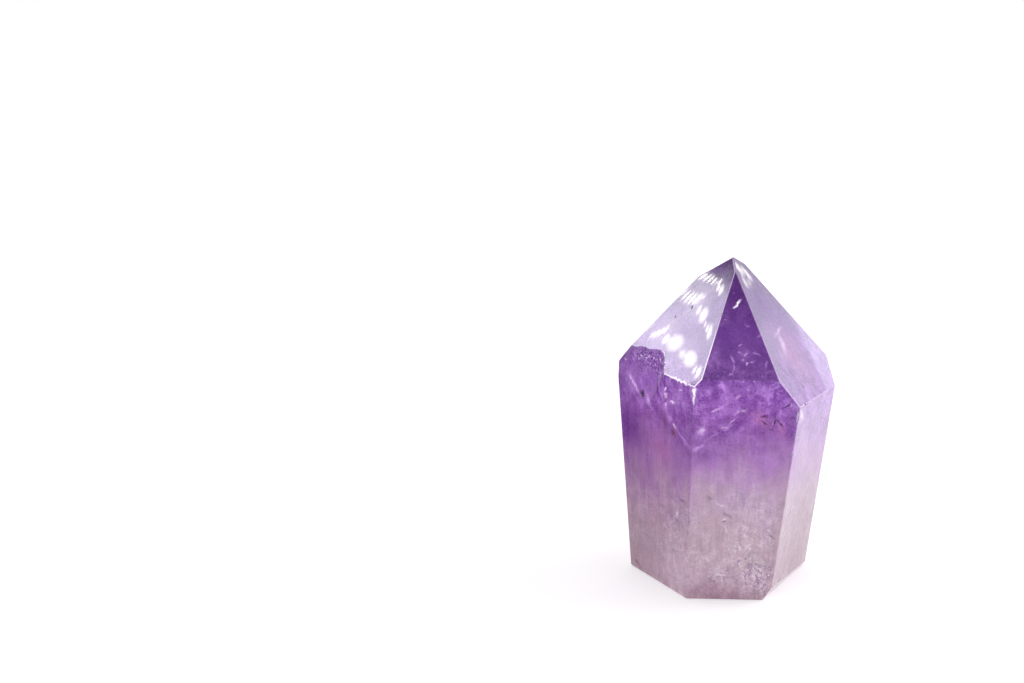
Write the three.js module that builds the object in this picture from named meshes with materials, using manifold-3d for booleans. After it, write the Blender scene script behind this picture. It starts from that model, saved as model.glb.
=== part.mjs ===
// A polished amethyst point: one quartz crystal, ground flat on six prism faces and six tip faces, polished, and
// sawn level at the foot so that it stands. Millimetres, +Z up, origin at the centre of the foot.
import * as THREE from "three";
import { ConvexGeometry } from "three/addons/geometries/ConvexGeometry.js";
import { mergeVertices } from "three/addons/utils/BufferGeometryUtils.js";
import Module from "manifold-3d";

const wasm = await Module();
wasm.setup();

// The cut of the stone. A prism face leans outward from the vertical and stands at its reach from the axis on the
// foot. A tip face slopes from the horizontal and crosses the axis at its height. Angles are degrees, counted from +X.
const prismFaces = {
  leftFront: { facing: -152.4, lean: 1.5, reach: 15.6 },
  front: { facing: -93.3, lean: 4.9, reach: 19.3 },
  rightFront: { facing: -23.7, lean: 7.9, reach: 16 },
  wornFoot: { facing: -26, lean: 32, reach: 15.2 },
  rightBack: { facing: 15.2, lean: 5.8, reach: 17.1 },
  back: { facing: 92, lean: 4, reach: 17.5 },
  leftBack: { facing: 141.4, lean: 6.2, reach: 14.1 },
};
const tipFaces = {
  leftFrontTip: { facing: -153.8, slope: 53, height: 66.6 },
  frontTip: { facing: -92.5, slope: 48.4, height: 72.5 },
  rightFrontTip: { facing: -19.6, slope: 54.6, height: 69.8 },
  rightBackTip: { facing: 26, slope: 48.5, height: 67.1 },
  backTip: { facing: 99.4, slope: 43.3, height: 62 },
  leftBackTip: { facing: 148.6, slope: 50.6, height: 66.3 },
};

// The polish rolls every edge over by a little, and more at the foot.
const edgeRadius = 0.28;
const footRadius = 0.5;
const arcSteps = 3;

// The hollow: a patch of the rough crystal's skin that the wheel missed, across the left shoulder. Its place is taken
// from the shoulder edge, x along the edge away from the front and y down the left front face. The floor is the
// deepest level and fades out down that face; the wall climbs out of it towards the front, and both are pitted
// along their meeting.
const hollow = {
  area: { x: [9.5, 33.5], y: [-7, 11.6], cell: 0.36 },
  floor: { atEdge: 2.9, perX: -0.062, perY: -0.21 },
  wall: { start: 11.5, perX: 0.41, perY: -0.3 },
  blend: 0.35,
  ease: 0.45,
  skim: 0.03,
  swell: { height: 0.06, pitch: 5.2 },
  pits: { pitch: 0.82, depth: 0.36, radius: [0.3, 0.64], share: 0.95, shareOnFloor: 0.05, spread: 1.1, lowest: 2.6 },
};

// The nicks, each beside an edge of the cut: the two faces that it lies between, how far along from the corner with
// the third face, and its length, width and depth.
const nicks = [
  { edge: ["leftFront", "front"], corner: "leftFrontTip", along: 1.9, size: [3.2, 0.7, 0.34] },
  { edge: ["front", "rightFront"], corner: "rightFrontTip", along: 2.3, size: [2.6, 0.8, 0.4] },
  { edge: ["front", "rightFront"], corner: "rightFrontTip", along: 9.8, size: [1.1, 0.6, 0.3] },
  { edge: ["rightFrontTip", "rightFront"], corner: "front", along: 3.4, size: [0.9, 0.8, 0.42] },
  { edge: ["leftFrontTip", "leftFront"], corner: "front", along: 2.4, size: [1.1, 0.5, 0.28] },
  { edge: ["leftFrontTip", "frontTip"], corner: "front", along: 14.5, size: [0.9, 0.45, 0.24] },
  { edge: ["rightFront", "rightBack"], corner: "rightFrontTip", along: 6.2, size: [1.6, 0.5, 0.28] },
  { edge: ["leftBack", "back"], corner: "backTip", along: 5.5, size: [2.4, 0.9, 0.45] },
  { edge: ["back", "foot"], corner: "leftBack", along: 7.5, size: [2.8, 1.1, 0.5] },
];
const nickDetail = 4;
const nickLump = 0.14;

function direction(facing, rise) {
  const a = THREE.MathUtils.degToRad(facing);
  const e = THREE.MathUtils.degToRad(rise);
  return new THREE.Vector3(Math.cos(a) * Math.cos(e), Math.sin(a) * Math.cos(e), Math.sin(e));
}

// Every face of the cut as a plane: an outward normal, and its distance from the origin along that normal.
function cutPlanes() {
  const planes = { foot: { normal: new THREE.Vector3(0, 0, -1), distance: 0 } };
  for (const [name, face] of Object.entries(prismFaces)) {
    const distance = face.reach * Math.cos(THREE.MathUtils.degToRad(face.lean));
    planes[name] = { normal: direction(face.facing, -face.lean), distance };
  }
  for (const [name, face] of Object.entries(tipFaces)) {
    const distance = face.height * Math.cos(THREE.MathUtils.degToRad(face.slope));
    planes[name] = { normal: direction(face.facing, 90 - face.slope), distance };
  }
  return planes;
}

// The point at the given depth below all three named faces.
function meetingPoint(planes, names, depth = 0) {
  const [a, b, c] = names.map((name) => planes[name]);
  const rows = new THREE.Matrix3().set(...a.normal.toArray(), ...b.normal.toArray(), ...c.normal.toArray());
  if (Math.abs(rows.determinant()) < 1e-6) return null;
  const distances = new THREE.Vector3(a.distance - depth, b.distance - depth, c.distance - depth);
  return distances.applyMatrix3(rows.invert());
}

// The corners of the cut stone: every meeting of three faces that no other face cuts off.
function cornersOf(planes) {
  const names = Object.keys(planes);
  const corners = [];
  for (let i = 0; i < names.length; i++)
    for (let j = i + 1; j < names.length; j++)
      for (let k = j + 1; k < names.length; k++) {
        const faces = [names[i], names[j], names[k]];
        const at = meetingPoint(planes, faces);
        if (!at) continue;
        const kept = names.every((n) => planes[n].normal.dot(at) < planes[n].distance + 1e-6);
        if (kept) corners.push({ faces, at });
      }
  return corners;
}

// Each corner becomes a patch of a ball that touches its three faces. The hull of the patches has flat faces in
// the planes of the cut, joined by rolled edges.
function polishedBlank(planes) {
  const points = [];
  for (const { faces } of cornersOf(planes)) {
    const radius = faces.includes("foot") || faces.includes("wornFoot") ? footRadius : edgeRadius;
    const centre = meetingPoint(planes, faces, radius);
    const [a, b, c] = faces.map((name) => planes[name].normal);
    for (let i = 0; i <= arcSteps; i++)
      for (let j = 0; j <= arcSteps - i; j++) {
        const towards = new THREE.Vector3()
          .addScaledVector(a, i)
          .addScaledVector(b, j)
          .addScaledVector(c, arcSteps - i - j)
          .normalize();
        points.push(centre.clone().addScaledVector(towards, radius));
      }
  }
  return new ConvexGeometry(points);
}

function toSolid(geometry) {
  const bare = geometry.clone();
  bare.deleteAttribute("normal");
  bare.deleteAttribute("uv");
  const merged = mergeVertices(bare, 1e-4);
  const vertProperties = merged.getAttribute("position").array;
  const triVerts = new Uint32Array(merged.index.array);
  return new wasm.Manifold(new wasm.Mesh({ numProp: 3, vertProperties, triVerts }));
}

function toGeometry(solid) {
  const mesh = solid.getMesh();
  const geometry = new THREE.BufferGeometry();
  geometry.setAttribute("position", new THREE.BufferAttribute(mesh.vertProperties, 3));
  geometry.setIndex(new THREE.BufferAttribute(mesh.triVerts, 1));
  geometry.computeVertexNormals();
  return geometry;
}

// A frame on the edge between two faces, at a distance from its corner with a third face: X runs along the edge away
// from that corner, and Z points the way given, or else straight out of the edge.
function edgeFrame(planes, edge, corner, along, out) {
  const [a, b] = edge.map((name) => planes[name].normal);
  const z = out ?? a.clone().add(b).normalize();
  const run = a.clone().cross(b).normalize();
  const x = planes[corner].normal.dot(run) > 0 ? run.clone().negate() : run;
  const at = meetingPoint(planes, [...edge, corner]).addScaledVector(x, along);
  return new THREE.Matrix4().makeBasis(x, z.clone().cross(x), z).setPosition(at);
}

// A number from 0 to 1 that depends on two whole numbers and a channel, the same on every run.
function scatter(i, j, channel) {
  const n = Math.sin(i * 127.1 + j * 311.7 + channel * 74.7) * 43758.5453;
  return n - Math.floor(n);
}

// How deep the pits are at a place: one round pit in each square of a loose lattice, some of them left out.
function pitDepthAt(x, y, share) {
  const { pitch, depth, radius } = hollow.pits;
  let deepest = 0;
  const [ci, cj] = [Math.floor(x / pitch), Math.floor(y / pitch)];
  for (let i = ci - 1; i <= ci + 1; i++)
    for (let j = cj - 1; j <= cj + 1; j++) {
      if (scatter(i, j, 0) > share) continue;
      const [px, py] = [(i + scatter(i, j, 1)) * pitch, (j + scatter(i, j, 2)) * pitch];
      const r = THREE.MathUtils.lerp(radius[0], radius[1], scatter(i, j, 3));
      const reach = 1 - ((x - px) ** 2 + (y - py) ** 2) / r ** 2;
      deepest = Math.max(deepest, depth * (0.4 + 0.6 * scatter(i, j, 4)) * reach);
    }
  return deepest;
}

// The depth of the hollow below the left front face. Where it fades out, it comes up to the face at a low slant.
function hollowDepth(x, y) {
  const { floor, wall, blend, ease, skim, swell, pits } = hollow;
  const { clamp, lerp } = THREE.MathUtils;
  const floorDepth = floor.atEdge + floor.perX * x + floor.perY * y;
  const wallDepth = wall.perX * (x - wall.start) + wall.perY * y;
  const onWall = clamp(0.5 + (floorDepth - wallDepth) / (2 * blend), 0, 1);
  const level = lerp(floorDepth, wallDepth, onWall) - blend * onWall * (1 - onWall);
  if (level < -ease) return -skim;
  const eased = level > ease ? level : (level + ease) ** 2 / (4 * ease);
  const turn = (2 * Math.PI) / swell.pitch;
  const wave = swell.height * (Math.sin(turn * (x + 0.4 * y)) + Math.cos(turn * (1.3 * y - 0.3 * x)));
  const away = clamp((wallDepth - floorDepth) / pits.spread, 0, 1);
  const pit = pitDepthAt(x, y, lerp(pits.share, pits.shareOnFloor, away)) * clamp(pits.lowest - y, 0, 1);
  return eased + (wave + pit) * clamp(eased, 0, 1) - skim;
}

// What the hollow takes away: a block with its underside pressed to the hollow's shape.
function hollowTool(planes) {
  const { x, y, cell } = hollow.area;
  const [width, height] = [x[1] - x[0], y[1] - y[0]];
  const block = new THREE.BoxGeometry(width, height, 12, Math.round(width / cell), Math.round(height / cell), 1);
  block.translate(x[0] + width / 2, y[0] + height / 2, 0);
  const at = block.getAttribute("position");
  for (let i = 0; i < at.count; i++) if (at.getZ(i) < 0) at.setZ(i, -hollowDepth(at.getX(i), at.getY(i)));
  const edge = ["leftFront", "leftFrontTip"];
  return block.applyMatrix4(edgeFrame(planes, edge, "front", 0, planes.leftFront.normal));
}

// What a nick takes away: a flattened ball with a lumpy, broken skin.
function nickTool(planes, nick, index) {
  const [length, width, depth] = nick.size;
  const ball = new THREE.IcosahedronGeometry(1, nickDetail);
  const at = ball.getAttribute("position");
  for (let i = 0; i < at.count; i++) {
    const [x, y, z] = [at.getX(i), at.getY(i), at.getZ(i)];
    const lump = Math.sin(2.3 * x + index) * Math.cos(3.1 * y - index) + 0.6 * Math.sin(4.7 * (x + z) + 2 * index);
    const grown = 1 + nickLump * lump;
    at.setXYZ(i, (x * grown * length) / 2, (y * grown * width) / 2, z * grown * depth);
  }
  return ball.applyMatrix4(edgeFrame(planes, nick.edge, nick.corner, nick.along));
}

function amethystPoint() {
  const planes = cutPlanes();
  let stone = toSolid(polishedBlank(planes)).subtract(toSolid(hollowTool(planes)));
  nicks.forEach((nick, i) => {
    stone = stone.subtract(toSolid(nickTool(planes, nick, i)));
  });
  const geometry = toGeometry(stone);
  geometry.computeBoundingBox();
  const middle = geometry.boundingBox.getCenter(new THREE.Vector3());
  geometry.translate(-middle.x, -middle.y, 0);
  const amethyst = new THREE.MeshStandardMaterial({ color: 0x8f5fb4, roughness: 0.08, metalness: 0 });
  const mesh = new THREE.Mesh(geometry, amethyst);
  mesh.name = "amethyst_point";
  return mesh;
}

const part = new THREE.Group();
part.add(amethystPoint());

export default part;
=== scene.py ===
"""A polished amethyst point, dressed for a studio picture.

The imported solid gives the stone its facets, its hollow and its nicks. This script gives it the skin, the
colour and the inclusions that the eye sees, and stands it on a pale floor under soft light.
"""

from __future__ import annotations

import logging
import math
import random
from dataclasses import dataclass
from enum import Enum
from typing import Any, Sequence

import bmesh
import bpy
from mathutils import Matrix, Vector
from mathutils.geometry import intersect_point_line

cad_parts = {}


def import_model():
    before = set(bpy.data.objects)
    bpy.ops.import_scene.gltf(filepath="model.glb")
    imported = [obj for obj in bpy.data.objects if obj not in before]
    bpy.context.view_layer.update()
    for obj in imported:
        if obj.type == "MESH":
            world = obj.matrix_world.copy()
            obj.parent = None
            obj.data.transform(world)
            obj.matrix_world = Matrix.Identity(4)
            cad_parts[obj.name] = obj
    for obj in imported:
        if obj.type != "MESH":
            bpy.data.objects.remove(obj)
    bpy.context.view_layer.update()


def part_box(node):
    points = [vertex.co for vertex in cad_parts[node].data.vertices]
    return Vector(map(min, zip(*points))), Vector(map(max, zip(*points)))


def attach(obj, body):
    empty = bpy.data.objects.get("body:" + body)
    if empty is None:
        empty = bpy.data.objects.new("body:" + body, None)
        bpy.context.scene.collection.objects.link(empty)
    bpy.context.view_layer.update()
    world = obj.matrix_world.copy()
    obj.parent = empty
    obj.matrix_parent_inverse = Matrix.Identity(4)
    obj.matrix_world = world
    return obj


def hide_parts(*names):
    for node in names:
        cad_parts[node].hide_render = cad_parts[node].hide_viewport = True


log = logging.getLogger("amethyst")

MM = 0.001
BODY = "root"
STONE = "amethyst_point"
SMOOTH = {"interpolation_type": "SMOOTHSTEP"}
SAME_WAY = math.cos(math.radians(1))
"""How nearly two directions agree that count as the same."""


def linear(hex_colour: str) -> tuple[float, float, float, float]:
    """Turns an sRGB hex colour into the linear values that shaders take.

    Args:
        hex_colour: six hex digits after a hash.

    Returns:
        Red, green, blue and a full alpha.
    """
    digits = hex_colour.lstrip("#")
    channels = [int(digits[i : i + 2], 16) / 255 for i in (0, 2, 4)]
    curved = [c / 12.92 if c <= 0.04045 else ((c + 0.055) / 1.055) ** 2.4 for c in channels]
    return (curved[0], curved[1], curved[2], 1.0)


def add_node(
    tree: bpy.types.NodeTree,
    kind: str,
    settings: dict[str, Any] | None = None,
    feeds: dict[Any, Any] | None = None,
) -> bpy.types.Node:
    """Adds a shader node with its settings and what feeds its sockets.

    Args:
        tree: the node tree that takes the node.
        kind: the node's type name after "ShaderNode".
        settings: the node's own options by name.
        feeds: a plain value or another node's output for each input, by socket name or number.

    Returns:
        The new node.
    """
    node = tree.nodes.new(f"ShaderNode{kind}")
    for name, value in (settings or {}).items():
        setattr(node, name, value)
    for name, value in (feeds or {}).items():
        if isinstance(value, bpy.types.NodeSocket):
            tree.links.new(value, node.inputs[name])
        else:
            node.inputs[name].default_value = value
    return node


def new_material(name: str) -> tuple[bpy.types.Material, bpy.types.NodeTree]:
    """Makes an empty node material.

    Args:
        name: the material's name.

    Returns:
        The material and its node tree.
    """
    material = bpy.data.materials.new(name)
    material.use_nodes = True
    material.node_tree.nodes.clear()
    return material, material.node_tree


def select_nothing() -> None:
    """Leaves edit mode and deselects everything."""
    if bpy.context.object and bpy.context.object.mode != "OBJECT":
        bpy.ops.object.mode_set(mode="OBJECT")
    bpy.ops.object.select_all(action="DESELECT")


def select_only(piece: bpy.types.Object) -> None:
    """Deselects everything, then selects one piece and makes it active."""
    select_nothing()
    piece.select_set(True)
    bpy.context.view_layer.objects.active = piece


def link_mesh(name: str, mesh: bpy.types.Mesh) -> bpy.types.Object:
    """Puts a mesh into the scene as a new object."""
    piece = bpy.data.objects.new(name, mesh)
    bpy.context.scene.collection.objects.link(piece)
    return piece


Pixel = tuple[float, float]
"""A point of the photograph, across from its left side and down from its top."""


@dataclass(frozen=True)
class Viewpoint:
    """Where the photograph was taken from, and the line of sight of each point of its frame."""

    at: Vector = Vector((-42.9 * MM, -544.3 * MM, 200.9 * MM))
    pitch_down: float = math.radians(15.7)
    lens_mm: float = 100.0
    sensor_mm: float = 36.0
    frame: tuple[int, int] = (1024, 683)

    def sight(self, pixel: Pixel) -> Vector:
        """Returns the unit direction in which a pixel of the photograph looks."""
        reach = self.lens_mm / self.sensor_mm * self.frame[0]
        right, down = pixel[0] - self.frame[0] / 2, pixel[1] - self.frame[1] / 2
        sine, cosine = math.sin(self.pitch_down), math.cos(self.pitch_down)
        return Vector((right, reach * cosine - down * sine, -reach * sine - down * cosine)).normalized()


VIEW = Viewpoint()


class Face(Enum):
    """The ground faces that the photograph shows, with the direction and the slope that each faces."""

    LEFT_TIP = (-153.8, 53.0)
    FRONT_TIP = (-92.5, 48.4)
    RIGHT_TIP = (-19.6, 54.6)
    LEFT_SIDE = (-152.4, 91.5)
    FRONT_SIDE = (-93.3, 94.9)
    RIGHT_SIDE = (-23.7, 97.9)


@dataclass(frozen=True)
class Facet:
    """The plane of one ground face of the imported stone."""

    point: Vector
    normal: Vector

    def seen_at(self, pixel: Pixel) -> Vector:
        """Returns the point of the face's plane that shows at a pixel."""
        sight = VIEW.sight(pixel)
        return VIEW.at + sight * ((self.point - VIEW.at).dot(self.normal) / sight.dot(self.normal))

    def mirrored(self, pixel: Pixel, distance: float) -> Vector:
        """Returns the point whose reflection in the face shows at a pixel.

        Args:
            pixel: a point of the photograph's frame on the face.
            distance: how far the reflected point is from the face, in metres.

        Returns:
            The reflected point.
        """
        return self.seen_at(pixel) + VIEW.sight(pixel).reflect(self.normal) * distance


def find_facet(face: Face) -> Facet:
    """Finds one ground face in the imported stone's mesh.

    Args:
        face: which face is wanted.

    Returns:
        The plane of the face, from its largest triangle.
    """
    packed = bpy.data.objects[STONE]
    facing, slope = (math.radians(angle) for angle in face.value)
    wanted = Vector((math.cos(facing) * math.sin(slope), math.sin(facing) * math.sin(slope), math.cos(slope)))
    close = [polygon for polygon in packed.data.polygons if polygon.normal.dot(wanted) > SAME_WAY]
    largest = max(close, key=lambda polygon: polygon.area)
    return Facet(packed.matrix_world @ largest.center, largest.normal.copy())


@dataclass(frozen=True)
class Look:
    """How the skin looks at one place: its colour, how clear it is and how hazy."""

    colour: str
    clear: float
    haze: float


@dataclass(frozen=True)
class Band:
    """One height of the stone, and how the quartz looks there."""

    height_mm: float
    look: Look


class Trace(Enum):
    """What shows close under the skin, from the lowest to the uppermost, and the skin's look over it; some
    kinds are painted highlight, painted glint or painted shade, partly or wholly.
    """

    # Deeper violet of the quartz; also laid as painted shade over the whole front tip face, and in part as a
    # painted dark reflection at the top of the left tip face.
    DEPTH = Look("#6c2296", 0.36, 0.3)
    BLUSH = Look("#cf86bd", 0.25, 0.4)
    FLUSH = Look("#a44a98", 0.3, 0.3)
    # Painted shade: greyer, darker patches where less light falls, on the foot's left and bottom and on the
    # right faces.
    PAINTED_SHADE = Look("#987489", 0.2, 0.4)
    RUST = Look("#7c4458", 0.25, 0.4)
    VEIL = Look("#dba6f8", 0.15, 0.4)
    CRACKLE = Look("#7c5f8c", 0.5, 0.3)
    # Dark wisps of the quartz; also painted shade where chips break the mirror of the left tip face.
    WISP_AND_SHADE = Look("#2c0640", 0.15, 0.3)
    # Pale chalky veins of the milky quartz; also a painted highlight at the top of the right side, over a
    # pale streak.
    CHALK_AND_HIGHLIGHT = Look("#e9dfe8", 0.1, 0.4)
    # Painted glints: small cracks painted brighter, as where they flash with light.
    PAINTED_SPARK = Look("#f8dcff", 0.0, 0.4)
    # Painted highlights: pure white marks that also glow, as if they threw back the lamps' light.
    PAINTED_GLINT = Look("#ffffff", 0.0, 0.4)


SOFT = (Trace.DEPTH, Trace.BLUSH, Trace.FLUSH, Trace.PAINTED_SHADE, Trace.RUST, Trace.PAINTED_GLINT)
"""The traces that show no grain."""


@dataclass(frozen=True)
class Mark:
    """One inclusion close under a face, or a patch of painted highlight or painted shade, slender and fading
    at its rim.
    """

    trace: Trace
    face: Face
    start: Pixel
    end: Pixel
    wide: float
    """Its full width, in pixels of the photograph."""
    share: float
    """How much of the trace's look it gives the skin."""


def strokes(trace: Trace, face: Face, *shapes: tuple[Pixel, Pixel, float, float]) -> list[Mark]:
    """Gathers marks of one kind under one face.

    Args:
        trace: their kind.
        face: the face that they lie under.
        shapes: the start, the end, the width and the share of each.

    Returns:
        The marks.
    """
    return [Mark(trace, face, *shape) for shape in shapes]


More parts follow.
